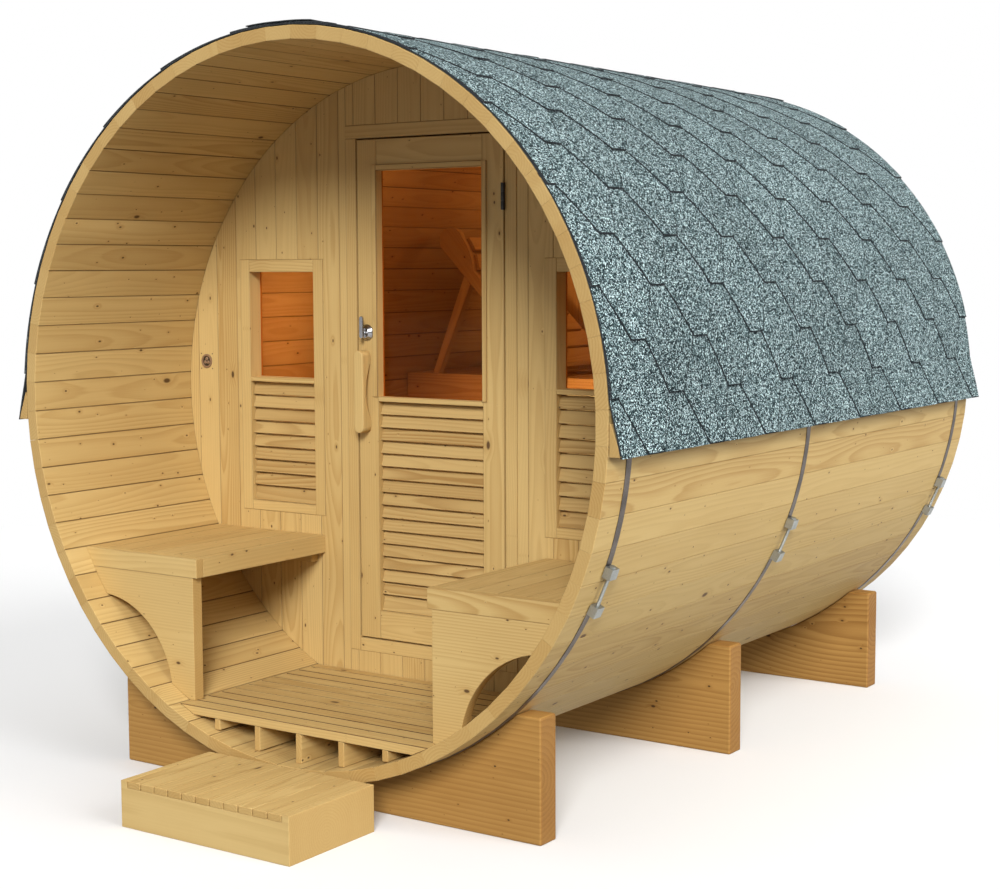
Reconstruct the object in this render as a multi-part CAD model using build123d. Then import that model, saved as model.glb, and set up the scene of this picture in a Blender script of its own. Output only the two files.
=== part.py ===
from build123d import *
import math
import os

# Outdoor barrel sauna. X is to the right, Y runs from the door end to the back, Z is up.
# The origin is on the ground, under the middle of the barrel.

# Barrel of staves
barrel_radius = 1050
barrel_length = 2500
stave_thickness = 38
stave_count = 72
stave_joint_gap = 0.5
ground_clearance = 87

# Play and cuts
seat_gap = 0.3
running_gap = 5
cut_overrun = 20

# Shingle roof
shingle_exposure = 140.5
shingle_butt = 9
shingle_head = 4
shingle_lap_gap = 0.3
eave_drop = 71
eave_overhang = 3
ridge_cap_width = 230
ridge_cap_thickness = 4
eave_batten_rise = 13
eave_batten_drop = 71
eave_batten_foot = 34
eave_batten_tip = 3

# Steel straps
strap_width = 25
strap_thickness = 1.2
strap_end_distance = 105
strap_middle_offset = 85
tensioner_upper_angle = -20.8
tensioner_lower_angle = -26.8
tensioner_block_length = 30
tensioner_block_height = 24
tensioner_block_width = 34
tensioner_rod_radius = 4.5

# Cradles
cradle_thickness = 75
cradle_length = 1540
cradle_height = 347
cradle_end_distance = 162
cradle_edge_radius = 8

# End walls of upright boards
porch_depth = 682
wall_thickness = 38
wall_board_width = 88
left_board_shift = -1
middle_board_shift = 60
right_board_shift = 12
wall_board_gap = 0.8
rear_recess = 60

# Door and its casing
door_width = 555
door_head_room = 222
door_thickness = 34
door_threshold_height = 115
stile_width = 77
top_rail_height = 96
bottom_rail_height = 89
middle_rail_height = 15
door_louvre_height = 668
casing_width = 41
casing_proud = 2
casing_depth = 54
casing_foot = 42
stop_width = 20
stop_thickness = 14
glass_thickness = 6
glass_setback = 26
bead_width = 17
bead_thickness = 5

# Louvre slats
door_slat_pitch = 41
window_slat_pitch = 43
slat_opening = 4
slat_recess = 11
slat_thickness = 9
slat_lean = 12

# Door hardware
handle_length = 260
handle_middle_above_axis = 4.5
handle_width = 38
handle_reach = 43
handle_grip = 19
handle_foot = 41
handle_distance_from_edge = 30
latch_above_axis = 189.5
latch_distance_from_edge = 33
latch_rose_radius = 27
latch_rose_crown_radius = 15
latch_rose_thickness = 11
latch_stem_radius = 6
latch_stem_length = 30
latch_lever_length = 69
latch_lever_tail = 16.5
latch_lever_width = 14
latch_lever_thickness = 6
hinge_length = 80
hinge_knuckle_radius = 6.5
hinge_pin_radius = 3
hinge_pin_play = 0.3
hinge_leaf_thickness = 1.6
hinge_leaf_width = 26
hinge_knuckle_gap = 0.6
hinge_distance_from_end = 187

# Windows beside the door
window_width = 352
window_place_share = 0.4632
window_top_above_axis = 420
window_seat_room = 62
window_frame_width = 40
window_frame_depth = 62
window_foot_height = 32
window_glass_setback = 52
window_glass_height = 344
window_sill_bar = 15

# Porch benches
bench_setback = 86
seat_overhang = 16
seat_height = 430
bench_rail_height = 58
bench_rail_thickness = 30
seat_board_thickness = 28
seat_board_width = 88
seat_board_gap = 4
panel_floor_lap = 21
panel_thickness = 38
panel_arc_radius = 287
panel_arc_outset = 204
panel_arc_angle = 47.43
ledger_height = 60
ledger_thickness = 32

# Floor
floor_height = 114
floor_board_thickness = 28
floor_board_pitch = 60
floor_board_gap = 5
floor_setback = 42
joist_thickness = 20
joist_casing_inset = 11.5
joists_each_side = 2

# Loose step
step_width = 608
step_depth = 351
step_height = 132
step_shift_x = 18
step_distance = 20
step_board_thickness = 24
step_slat_thickness = 19
step_slat_count = 11
step_slat_gap = 5

# Bench and reclining back inside
inner_bench_depth = 517
inner_bench_below_axis = 18
inner_fascia_height = 100
inner_fascia_thickness = 30
inner_slat_width = 72
inner_slat_gap = 12
inner_slat_thickness = 22
inner_ledger_height = 45
inner_ledger_thickness = 34
recliner_angle = 45
recliner_rail_width = 44
recliner_rail_thickness = 28
recliner_head_width = 98
recliner_head_shares = (0.46, 0.85)
recliner_tip_reach = 35
recliner_crown_back = 40
recliner_shoulder_back = 108
recliner_neck_back = 172
recliner_head_room = 22
recliner_foot_x = -335
recliner_depth = 425
recliner_slat_rise = 14
recliner_slat_drop = 24
prop_stave_room = 148
prop_reach = 150
prop_width = 30

# Places that follow from the sizes above
stave_angle = 360 / stave_count
axis_z = barrel_radius + ground_clearance
front_y = -barrel_length / 2
rear_y = barrel_length / 2
inner_radius = barrel_radius - stave_thickness
clear_radius = inner_radius * math.cos(math.radians(stave_angle / 2)) - seat_gap
strap_inner_radius = barrel_radius + seat_gap
strap_outer_radius = strap_inner_radius + strap_thickness
strap_places = (front_y + strap_end_distance, -strap_middle_offset, rear_y - strap_end_distance)
cradle_places = (front_y + cradle_end_distance, 0, rear_y - cradle_end_distance)
wall_front = front_y + porch_depth
wall_back = wall_front + wall_thickness
rear_wall_back = rear_y - rear_recess
rear_wall_front = rear_wall_back - wall_thickness
floor_top = axis_z - inner_radius + floor_height
floor_bottom = floor_top - floor_board_thickness
porch_floor_range = (front_y + floor_setback, wall_front - seat_gap)
cabin_floor_range = (wall_back + seat_gap, rear_wall_front - seat_gap)
door_bottom = floor_top + door_threshold_height
door_top = axis_z + inner_radius - door_head_room
door_front = wall_front - casing_proud
door_back = door_front + door_thickness
casing_inner_x = door_width / 2 + running_gap
casing_outer_x = casing_inner_x + casing_width
casing_front = wall_front - casing_proud
casing_back = casing_front + casing_depth
casing_top_inside = door_top + running_gap
casing_top = casing_top_inside + casing_width
sill_top = door_bottom - running_gap
sill_bottom = sill_top - casing_foot
louvre_bottom = door_bottom + bottom_rail_height
louvre_top = louvre_bottom + door_louvre_height
hinge_x = door_width / 2 + running_gap / 2
hinge_y = door_front - hinge_knuckle_radius
joist_spacing = (casing_outer_x - joist_casing_inset) / joists_each_side
seat_top = floor_top + seat_height
bench_rail_bottom = seat_top - bench_rail_height
window_bottom = seat_top + window_seat_room
bench_front = front_y + bench_setback
inner_bench_front = rear_wall_front - inner_bench_depth
inner_bench_top = axis_z - inner_bench_below_axis
step_back = front_y - step_distance
step_front = step_back - step_depth
step_left = step_shift_x - step_width / 2
step_right = step_shift_x + step_width / 2


def block(x_range, y_range, z_range):
    """Box between two corners."""
    ranges = (x_range, y_range, z_range)
    size = [high - low for low, high in ranges]
    middle = [(high + low) / 2 for low, high in ranges]
    return Pos(*middle) * Box(*size)


def section_plane(y):
    """Upright plane across the barrel, drawn in X and Z."""
    return Plane(origin=(0, y, 0), x_dir=(1, 0, 0), z_dir=(0, -1, 0))


def prism_along_y(outline, y_range):
    """Outline in X and Z, carried along the barrel."""
    face = section_plane(y_range[1]) * make_face(Polyline(*outline, close=True))
    return extrude(face, amount=y_range[1] - y_range[0], dir=(0, -1, 0))


def prism_along_x(outline, x_range):
    """Outline in Y and Z, carried across the barrel."""
    plane = Plane(origin=(x_range[0], 0, 0), x_dir=(0, 1, 0), z_dir=(1, 0, 0))
    face = plane * make_face(Polyline(*outline, close=True))
    return extrude(face, amount=x_range[1] - x_range[0], dir=(1, 0, 0))


def disc(radius, y_range):
    """Round plate across the barrel, about its axis."""
    face = section_plane(y_range[1]) * (Pos(0, axis_z) * Circle(radius))
    return extrude(face, amount=y_range[1] - y_range[0], dir=(0, -1, 0))


def polar(radius, degrees):
    """Point in X and Z at an angle from the right-hand side of the barrel."""
    angle = math.radians(degrees)
    return (radius * math.cos(angle), axis_z + radius * math.sin(angle))


def half_width(z):
    """Room from the middle to the inside of the staves at a height."""
    return math.sqrt(clear_radius ** 2 - (z - axis_z) ** 2)


def on_side(side, outline):
    """Outline drawn for the right, or mirrored to the left."""
    return [(side * x, z) for x, z in outline]


def side_range(side, near, far):
    """X range of a piece on the right, or mirrored to the left."""
    return tuple(sorted((side * near, side * far)))


# Barrel

def stave(index):
    """One coopered stave, flat on both faces, with bevelled edges."""
    middle = index * stave_angle
    corners = []
    for radius, turn in ((barrel_radius, -1), (barrel_radius, 1), (inner_radius, 1), (inner_radius, -1)):
        play = math.degrees(stave_joint_gap / 2 / radius)
        corners.append(polar(radius, middle + turn * (stave_angle / 2 - play)))
    return prism_along_y(corners, (front_y, rear_y))


def stave_group(group, groups):
    """Run of neighbouring staves. Group 0 is centred under the barrel."""
    count = stave_count // groups
    lowest = -stave_count // 4
    first = lowest + group * count - count // 2
    return [stave(first + step) for step in range(count)]


# Roof

def course_angle(arc):
    """Angle of a place on the roof, measured along its curve from mid-height."""
    return math.degrees(arc / barrel_radius)


def course_outlines():
    """Sections of the shingle courses, eave to ridge, each thick at its lower edge."""
    ridge_arc = barrel_radius * math.pi / 2
    count = int((ridge_arc + eave_drop) / shingle_exposure)
    gap = course_angle(shingle_lap_gap)
    outlines = []
    for number in range(count):
        lower_arc = number * shingle_exposure - eave_drop
        upper_arc = ridge_arc if number == count - 1 else lower_arc + shingle_exposure
        low = course_angle(lower_arc) + gap / 2
        high = course_angle(upper_arc) - gap / 2
        bed = (strap_outer_radius + seat_gap) / math.cos(math.radians((high - low) / 2))
        butt = [polar(bed, low), polar(bed + shingle_butt, low)]
        if number == 0:
            butt = eave_edge()
        outlines.append(butt + [polar(bed + shingle_head, high), polar(bed, high)])
    return outlines


def roof_courses(side):
    """Shingle courses on one side of the barrel."""
    return [prism_along_y(on_side(side, outline), (front_y, rear_y)) for outline in course_outlines()]


def batten_foot():
    """Inner and outer lower corners of the eave batten."""
    inner_x = strap_outer_radius + seat_gap
    foot_z = axis_z - eave_batten_drop
    return (inner_x, foot_z), (inner_x + eave_batten_foot, foot_z)


def eave_edge():
    """Lower edge of the first course, out over the batten."""
    foot_x = batten_foot()[1][0] + seat_gap + eave_overhang
    edge_z = axis_z - eave_drop - eave_overhang
    return [(foot_x, edge_z), (foot_x + shingle_head, edge_z)]


def eave_batten(side):
    """Tapered batten that throws the shingles out at the eave."""
    inner, outer = batten_foot()
    head_z = axis_z + eave_batten_rise
    outline = [inner, outer, (inner[0] + eave_batten_tip, head_z), (inner[0], head_z)]
    return prism_along_y(on_side(side, outline), (front_y, rear_y))


def ridge_cap(side):
    """One half of the shingle strip over the ridge, laid on the top course."""
    butt, head = course_outlines()[-1][1:3]
    slope = math.atan2(head[1] - butt[1], butt[0] - head[0])
    lap_x = ridge_cap_width / 2 * math.cos(slope)
    lap_drop = ridge_cap_width / 2 * math.sin(slope)
    bed = head[1] + seat_gap
    top = bed + ridge_cap_thickness
    outline = [(head[0], bed), (head[0] + lap_x, bed - lap_drop),
               (head[0] + lap_x, top - lap_drop), (head[0], top)]
    return prism_along_y(on_side(side, outline), (front_y, rear_y))


# Straps

def strap(y):
    """Flat band round the barrel, open between the two tensioner blocks."""
    gap = math.radians((tensioner_upper_angle - tensioner_lower_angle) / 2)
    y_range = (y - strap_width / 2, y + strap_width / 2)
    ring = disc(strap_outer_radius, y_range) - disc(strap_inner_radius, y_range)
    reach = barrel_radius + cut_overrun
    upper = polar(reach / math.cos(gap), tensioner_upper_angle)
    lower = polar(reach / math.cos(gap), tensioner_lower_angle)
    notch = prism_along_y([(0, axis_z), upper, lower], y_range)
    return ring - notch


def tensioner(y):
    """Two blocks on the strap ends, drawn together by a threaded rod."""
    foot_radius = strap_outer_radius + seat_gap
    middle_angle = (tensioner_upper_angle + tensioner_lower_angle) / 2
    half_angle = (tensioner_upper_angle - tensioner_lower_angle) / 2
    rod_radius = (foot_radius + tensioner_block_height / 2) * math.cos(math.radians(half_angle))
    rod_length = 2 * rod_radius * math.tan(math.radians(half_angle)) + tensioner_block_length
    pieces = Rot(0, -middle_angle, 0) * (Pos(rod_radius, y, 0) * Cylinder(tensioner_rod_radius, rod_length))
    half = tensioner_block_length / 2
    depth = (foot_radius, foot_radius + tensioner_block_height)
    width = (y - tensioner_block_width / 2, y + tensioner_block_width / 2)
    for angle in (tensioner_upper_angle, tensioner_lower_angle):
        pieces += Rot(0, -angle, 0) * block(depth, width, (-half, half))
    return Pos(0, 0, axis_z) * pieces


# Cradles

def cradle(y):
    """Thick board on edge, hollowed to the round of the barrel."""
    half = cradle_length / 2
    y_range = (y - cradle_thickness / 2, y + cradle_thickness / 2)
    board = block((-half, half), y_range, (0, cradle_height))
    ends = board.edges().filter_by(Axis.Y).group_by(Axis.Z)[-1]
    board = fillet(ends, cradle_edge_radius)
    cut_range = (y_range[0] - cut_overrun, y_range[1] + cut_overrun)
    return board - disc(barrel_radius + seat_gap, cut_range)


# End walls

def wall_boards(zone, shift, holes):
    """Upright boards that fill a zone of a round end wall, cut back at its windows."""
    x_range, y_range, z_range = zone
    plate = disc(clear_radius, y_range) & block(x_range, y_range, z_range)
    first = math.floor((x_range[0] - shift) / wall_board_width)
    last = math.ceil((x_range[1] - shift) / wall_board_width)
    boards = []
    for number in range(first, last):
        left = shift + number * wall_board_width
        right = left + wall_board_width - wall_board_gap
        low = max(left, x_range[0])
        high = min(right, x_range[1])
        if high - low < wall_board_gap:
            continue
        board = plate & block((low, high), y_range, z_range)
        for hole in holes:
            board = board - hole
        boards += board.solids()
    return boards


def window_edges():
    """Edges of a window, placed between the door casing and the staves at the window head."""
    room = half_width(axis_z + window_top_above_axis) - casing_outer_x
    middle = casing_outer_x + window_place_share * room
    return middle - window_width / 2, middle + window_width / 2


def window_hole(side):
    """Room for a window frame in the front wall."""
    near, far = window_edges()
    x_range = side_range(side, near - seat_gap, far + seat_gap)
    y_range = (wall_front - cut_overrun, wall_back + cut_overrun)
    low = window_bottom - seat_gap
    high = axis_z + window_top_above_axis + seat_gap
    return block(x_range, y_range, (low, high))


def front_wall_side(side):
    """Wall beside the door, with its window cut out."""
    x_range = side_range(side, casing_outer_x + seat_gap, clear_radius)
    z_range = (axis_z - clear_radius, axis_z + clear_radius)
    shift = right_board_shift if side > 0 else left_board_shift
    return wall_boards((x_range, (wall_front, wall_back), z_range), shift, [window_hole(side)])


def front_wall_middle(z_range):
    """Wall over or under the door casing."""
    x_range = (-casing_outer_x, casing_outer_x)
    return wall_boards((x_range, (wall_front, wall_back), z_range), middle_board_shift, [])


def rear_wall():
    """Whole round back wall, set in from the stave ends."""
    x_range = (-clear_radius, clear_radius)
    z_range = (axis_z - clear_radius, axis_z + clear_radius)
    return wall_boards((x_range, (rear_wall_front, rear_wall_back), z_range), left_board_shift, [])


# Door casing

def door_casing():
    """Two side pieces and a head round the door, deep enough to carry the stops."""
    y_range = (casing_front, casing_back)
    sides = []
    for side in (-1, 1):
        x_range = side_range(side, casing_inner_x, casing_outer_x)
        sides.append(block(x_range, y_range, (sill_bottom, casing_top_inside - seat_gap)))
    head = block((-casing_outer_x, casing_outer_x), y_range, (casing_top_inside, casing_top))
    return sides + [head]


def door_sill():
    """Cross piece under the door."""
    x_range = (seat_gap - casing_inner_x, casing_inner_x - seat_gap)
    return block(x_range, (casing_front, wall_back), (sill_bottom, sill_top))


def door_stops():
    """Strips behind the door that it closes against."""
    y_range = (door_back + running_gap, door_back + running_gap + stop_thickness)
    top = casing_top_inside - seat_gap
    strips = []
    for side in (-1, 1):
        x_range = side_range(side, casing_inner_x - stop_width, casing_inner_x - seat_gap)
        strips.append(block(x_range, y_range, (sill_top + seat_gap, top)))
    head_x = casing_inner_x - stop_width - seat_gap
    strips.append(block((-head_x, head_x), y_range, (top - stop_width, top)))
    return strips


# Door leaf

def door_stiles():
    """Upright members at both edges of the door."""
    half = door_width / 2
    y_range = (door_front, door_back)
    return [block(side_range(side, half - stile_width, half), y_range, (door_bottom, door_top))
            for side in (-1, 1)]


def door_rails():
    """Top, middle and bottom members between the stiles."""
    half = door_width / 2 - stile_width - seat_gap
    levels = ((door_top - top_rail_height, door_top),
              (louvre_top, louvre_top + middle_rail_height),
              (door_bottom, louvre_bottom))
    return [block((-half, half), (door_front, door_back), level) for level in levels]


def door_glass():
    """Tall pane in the upper part of the door."""
    half = door_width / 2 - stile_width - seat_gap
    y_range = (door_front + glass_setback, door_front + glass_setback + glass_thickness)
    low = louvre_top + middle_rail_height + seat_gap
    high = door_top - top_rail_height - seat_gap
    return block((-half, half), y_range, (low, high))


def door_beads():
    """Moulding on the face of the door, at the sides and head of the glass."""
    half = door_width / 2 - stile_width
    low = louvre_top + middle_rail_height
    high = door_top - top_rail_height
    y_range = (door_front - bead_thickness, door_front)
    strips = []
    for side in (-1, 1):
        x_range = side_range(side, half, half + bead_width)
        strips.append(block(x_range, y_range, (low, high + bead_width)))
    strips.append(block((seat_gap - half, half - seat_gap), y_range, (high, high + bead_width)))
    return strips


def louvre(x_range, front, foot_z, head_z):
    """One louvre slat, leaning back as it rises."""
    outline = [(front, foot_z), (front + slat_thickness, foot_z),
               (front + slat_thickness + slat_lean, head_z), (front + slat_lean, head_z)]
    return prism_along_x(outline, x_range)


def louvres(x_range, front, z_range, pitch):
    """Louvre slats at one pitch, from the top down. The last one closes on the member below."""
    low, high = z_range
    count = int((high - low) / pitch)
    slats = []
    for number in range(count):
        head_z = high - number * pitch - slat_opening
        foot_z = low + seat_gap if number == count - 1 else head_z + slat_opening - pitch
        slats.append(louvre(x_range, front, foot_z, head_z))
    return slats


def door_louvres():
    """Louvred lower half of the door."""
    half = door_width / 2 - stile_width - seat_gap
    return louvres((-half, half), door_front + slat_recess, (louvre_bottom, louvre_top), door_slat_pitch)


def door_handle():
    """Wooden pull on the free stile: a bar with round ends, hollowed behind for the fingers."""
    x = handle_distance_from_edge - door_width / 2
    middle = axis_z + handle_middle_above_axis
    outline = Pos(x, middle) * SlotOverall(handle_length, handle_width, rotation=90)
    bar = extrude(section_plane(door_front) * outline, amount=handle_reach, dir=(0, -1, 0))
    inner_half = handle_length / 2 - handle_foot
    low = (door_front, middle - inner_half)
    high = (door_front, middle + inner_half)
    deepest = (door_front - handle_reach + handle_grip, middle)
    hollow = make_face([ThreePointArc(low, deepest, high), Line(high, low)])
    plane = Plane(origin=(x - handle_width, 0, 0), x_dir=(0, 1, 0), z_dir=(1, 0, 0))
    return bar - extrude(plane * hollow, amount=handle_width * 2, dir=(1, 0, 0))


def door_latch():
    """Crowned rose with a thumb lever on the free stile."""
    x = latch_distance_from_edge - door_width / 2
    z = axis_z + latch_above_axis
    facing = Rot(90, 0, 0)
    rose = Cone(latch_rose_radius, latch_rose_crown_radius, latch_rose_thickness)
    latch = Pos(x, door_front - latch_rose_thickness / 2, z) * (facing * rose)
    stem = Cylinder(latch_stem_radius, latch_stem_length)
    latch += Pos(x, door_front - latch_stem_length / 2, z) * (facing * stem)
    lever_z = z - latch_lever_tail + latch_lever_length / 2
    outline = Pos(x, lever_z) * SlotOverall(latch_lever_length, latch_lever_width, rotation=90)
    lever_back = door_front - latch_stem_length + latch_lever_thickness
    latch += extrude(section_plane(lever_back) * outline, amount=latch_lever_thickness, dir=(0, -1, 0))
    return latch


def hinge_levels():
    """Middle heights of the two hinges."""
    return (door_bottom + hinge_distance_from_end, door_top - hinge_distance_from_end)


def knuckle(z_range, bore):
    """Length of hinge barrel, bored for the pin where it turns on it."""
    middle = (z_range[0] + z_range[1]) / 2
    place = Pos(hinge_x, hinge_y, middle)
    barrel = Cylinder(hinge_knuckle_radius, z_range[1] - z_range[0])
    if bore:
        barrel = barrel - Cylinder(hinge_pin_radius + hinge_pin_play, z_range[1] - z_range[0] + cut_overrun)
    return place * barrel


def door_hinge_leaf(z):
    """Hinge half on the door: a leaf on its edge and the two end knuckles."""
    third = hinge_length / 3
    edge_x = door_width / 2
    x_range = (edge_x, edge_x + hinge_leaf_thickness)
    y_range = (hinge_y + hinge_pin_radius * 2, door_front + hinge_leaf_width)
    leaf = Part()
    for end in (-1, 1):
        z_range = tuple(sorted((z + end * third / 2, z + end * hinge_length / 2)))
        leaf += block(x_range, y_range, z_range) + knuckle(z_range, True)
    bridge = (z - hinge_length / 2, z + hinge_length / 2)
    leaf += block(x_range, (door_front, door_front + hinge_leaf_width), bridge)
    return leaf


def casing_hinge_leaf(z):
    """Hinge half on the casing: a leaf, the middle knuckle and the pin."""
    third = hinge_length / 3
    x_range = (casing_inner_x - hinge_leaf_thickness, casing_inner_x)
    z_range = (z - third / 2 + hinge_knuckle_gap, z + third / 2 - hinge_knuckle_gap)
    leaf = block(x_range, (hinge_y, door_front + hinge_leaf_width), z_range) + knuckle(z_range, False)
    leaf += Pos(hinge_x, hinge_y, z) * Cylinder(hinge_pin_radius, hinge_length)
    return leaf


# Windows

def window_frame(side):
    """Two stiles, a head, a foot and a bar, lining the hole in the wall."""
    y_range = (casing_front, casing_front + window_frame_depth)
    low = window_bottom
    high = axis_z + window_top_above_axis
    inner, outer = window_edges()
    near = inner + window_frame_width
    far = outer - window_frame_width
    stile_near = block(side_range(side, inner, near), y_range, (low, high))
    stile_far = block(side_range(side, far, outer), y_range, (low, high))
    across = side_range(side, near + seat_gap, far - seat_gap)
    head = block(across, y_range, (high - window_frame_width, high))
    foot = block(across, y_range, (low, low + window_foot_height))
    bar_top = high - window_frame_width - window_glass_height
    bar = block(across, y_range, (bar_top - window_sill_bar, bar_top))
    return [stile_near, stile_far, head, foot, bar]


def window_pane_room(side):
    """X range inside a window frame."""
    near, far = window_edges()
    inset = window_frame_width + seat_gap
    return side_range(side, near + inset, far - inset)


def window_glass(side):
    """Pane in the upper part of a window."""
    high = axis_z + window_top_above_axis - window_frame_width - seat_gap
    low = high - window_glass_height + seat_gap * 2
    front = casing_front + window_glass_setback
    return block(window_pane_room(side), (front, front + glass_thickness), (low, high))


def window_louvres(side):
    """Louvre slats under the pane."""
    high = axis_z + window_top_above_axis - window_frame_width - window_glass_height - window_sill_bar
    low = window_bottom + window_foot_height
    return louvres(window_pane_room(side), casing_front + slat_recess, (low, high), window_slat_pitch)


# Porch benches

def panel_inner_x():
    """Inner edge of the bench end panels, which stand on the edge of the floor."""
    return half_width(floor_top) - panel_floor_lap


def seat_inner_x():
    """Inner edge of the seats, out over the end panels."""
    return panel_inner_x() - seat_overhang


def seat_board_outline(near, far):
    """Board of a seat in X and Z, bevelled where it meets the barrel."""
    low = seat_top - seat_board_thickness
    far_top = min(far, half_width(seat_top))
    far_low = min(far, half_width(low))
    return [(near, low), (far_low, low), (far_top, seat_top), (near, seat_top)]


def bench_seat(side):
    """Seat boards that run from the front rail to the wall."""
    near = seat_inner_x() + bench_rail_thickness + seat_gap
    limit = half_width(seat_top - seat_board_thickness)
    y_range = (bench_front + bench_rail_thickness + seat_gap, wall_front)
    boards = []
    while near < limit - seat_board_gap:
        far = near + seat_board_width
        far = far if limit - far > seat_board_width / 2 else half_width(seat_top)
        outline = on_side(side, seat_board_outline(near, far))
        boards.append(prism_along_y(outline, y_range))
        near = far + seat_board_gap
    return boards


def bench_rails(side):
    """Front rail and inner side rail round the seat boards."""
    far_top = half_width(seat_top)
    far_low = half_width(bench_rail_bottom)
    near = seat_inner_x()
    outline = [(near, bench_rail_bottom), (far_low, bench_rail_bottom), (far_top, seat_top), (near, seat_top)]
    front = prism_along_y(on_side(side, outline), (bench_front, bench_front + bench_rail_thickness))
    x_range = side_range(side, near, near + bench_rail_thickness)
    y_range = (bench_front + bench_rail_thickness + seat_gap, wall_front)
    inner = block(x_range, y_range, (bench_rail_bottom, seat_top))
    return [front, inner]


def bench_panel(side):
    """End panel under the seat, cut away in a curve along the barrel."""
    low = floor_top + seat_gap
    y_range = (bench_front, bench_front + panel_thickness)
    x_range = side_range(side, panel_inner_x(), clear_radius)
    panel = disc(clear_radius, y_range) & block(x_range, y_range, (low, bench_rail_bottom))
    centre = polar(inner_radius + panel_arc_outset, -panel_arc_angle)
    face = section_plane(y_range[1] + cut_overrun) * (Pos(side * centre[0], centre[1]) * Circle(panel_arc_radius))
    cutter = extrude(face, amount=panel_thickness + 2 * cut_overrun, dir=(0, -1, 0))
    return (panel - cutter).solids()


def bench_ledger(side):
    """Bearer on the front wall under the back of a seat."""
    top = seat_top - seat_board_thickness
    x_range = side_range(side, seat_inner_x() + bench_rail_thickness + seat_gap, half_width(top - ledger_height))
    return block(x_range, (wall_front - ledger_thickness, wall_front), (top - ledger_height, top))


# Floor

def floor_boards(y_range):
    """Boards across the barrel, bevelled at both ends to its round."""
    wide = half_width(floor_top)
    narrow = half_width(floor_bottom)
    outline = [(-narrow, floor_bottom), (narrow, floor_bottom), (wide, floor_top), (-wide, floor_top)]
    count = math.ceil((y_range[1] - y_range[0]) / floor_board_pitch)
    boards = []
    for number in range(count):
        low = y_range[0] + number * floor_board_pitch
        high = min(low + floor_board_pitch - floor_board_gap, y_range[1])
        boards.append(prism_along_y(outline, (low, high)))
    return boards


def floor_joists(y_range):
    """Joists on edge that stand on the staves under the floor."""
    joists = []
    for number in range(-joists_each_side, joists_each_side + 1):
        x = number * joist_spacing
        foot = axis_z - math.sqrt(clear_radius ** 2 - (abs(x) + joist_thickness / 2) ** 2)
        x_range = (x - joist_thickness / 2, x + joist_thickness / 2)
        joists.append(block(x_range, y_range, (foot, floor_bottom)))
    return joists


# Loose step

def step_frame():
    """Two full-height side boards, with a front and a back board between them."""
    y_range = (step_front, step_back)
    left = block((step_left, step_left + step_board_thickness), y_range, (0, step_height))
    right = block((step_right - step_board_thickness, step_right), y_range, (0, step_height))
    across = (step_left + step_board_thickness, step_right - step_board_thickness)
    level = (0, step_height - step_slat_thickness)
    front = block(across, (step_front, step_front + step_board_thickness), level)
    back = block(across, (step_back - step_board_thickness, step_back), level)
    return left + right + front + back


def step_slats():
    """Tread slats whose ends show in the front of the step."""
    left = step_left + step_board_thickness
    right = step_right - step_board_thickness
    pitch = (right - left) / step_slat_count
    z_range = (step_height - step_slat_thickness, step_height)
    slats = []
    for number in range(step_slat_count):
        low = left + number * pitch + step_slat_gap / 2
        slats.append(block((low, low + pitch - step_slat_gap), (step_front, step_back), z_range))
    return slats


# Bench and reclining back inside

def inner_bench_rails():
    """Fascia across the cabin, and the bearers that carry the slats."""
    low = inner_bench_top - inner_fascia_height
    half = half_width(low)
    fascia_back = inner_bench_front + inner_fascia_thickness
    fascia = block((-half, half), (inner_bench_front, fascia_back), (low, inner_bench_top))
    top = inner_bench_top - inner_slat_thickness
    ledger_z = (top - inner_ledger_height, top)
    front = block((-half, half), (fascia_back, fascia_back + inner_ledger_thickness), ledger_z)
    back = block((-half, half), (rear_wall_front - inner_ledger_thickness, rear_wall_front), ledger_z)
    return [fascia + front, back]


def inner_bench_slats():
    """Seat slats from the fascia to the back wall."""
    half = half_width(inner_bench_top - inner_slat_thickness)
    pitch = inner_slat_width + inner_slat_gap
    count = int(2 * half / pitch)
    start = -(count * pitch - inner_slat_gap) / 2
    y_range = (inner_bench_front + inner_fascia_thickness + seat_gap, rear_wall_front - seat_gap)
    z_range = (inner_bench_top - inner_slat_thickness, inner_bench_top)
    return [block((start + number * pitch, start + number * pitch + inner_slat_width), y_range, z_range)
            for number in range(count)]


def recliner_place(along, above):
    """Point in X and Z on the reclining back, from its foot and its middle line."""
    angle = math.radians(recliner_angle)
    foot_z = inner_bench_top + recliner_rail_width / 2 * math.cos(angle)
    x = recliner_foot_x - along * math.cos(angle) + above * math.sin(angle)
    return (x, foot_z + along * math.sin(angle) + above * math.cos(angle))


def recliner_length():
    """Length of the sloping rails' straight undersides, with their heads short of the staves."""
    angle = math.radians(recliner_angle)
    foot_x, foot_z = recliner_place(0, 0)
    inward = (foot_z - axis_z) * math.sin(angle) - foot_x * math.cos(angle)
    reach = clear_radius - recliner_head_room
    foot_radius = math.hypot(foot_x, foot_z - axis_z)
    return math.sqrt(inward ** 2 - foot_radius ** 2 + reach ** 2) - inward - recliner_tip_reach


def recliner_head():
    """Tip, crown, shoulder and neck of a rail's raised head, along the rail and above its middle line."""
    half = recliner_rail_width / 2
    length = recliner_length()
    tip_share, shoulder_share = recliner_head_shares
    return ((length + recliner_tip_reach, recliner_head_width * tip_share - half),
            (length - recliner_crown_back, recliner_head_width - half),
            (length - recliner_shoulder_back, recliner_head_width * shoulder_share - half),
            (length - recliner_neck_back, half))


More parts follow.
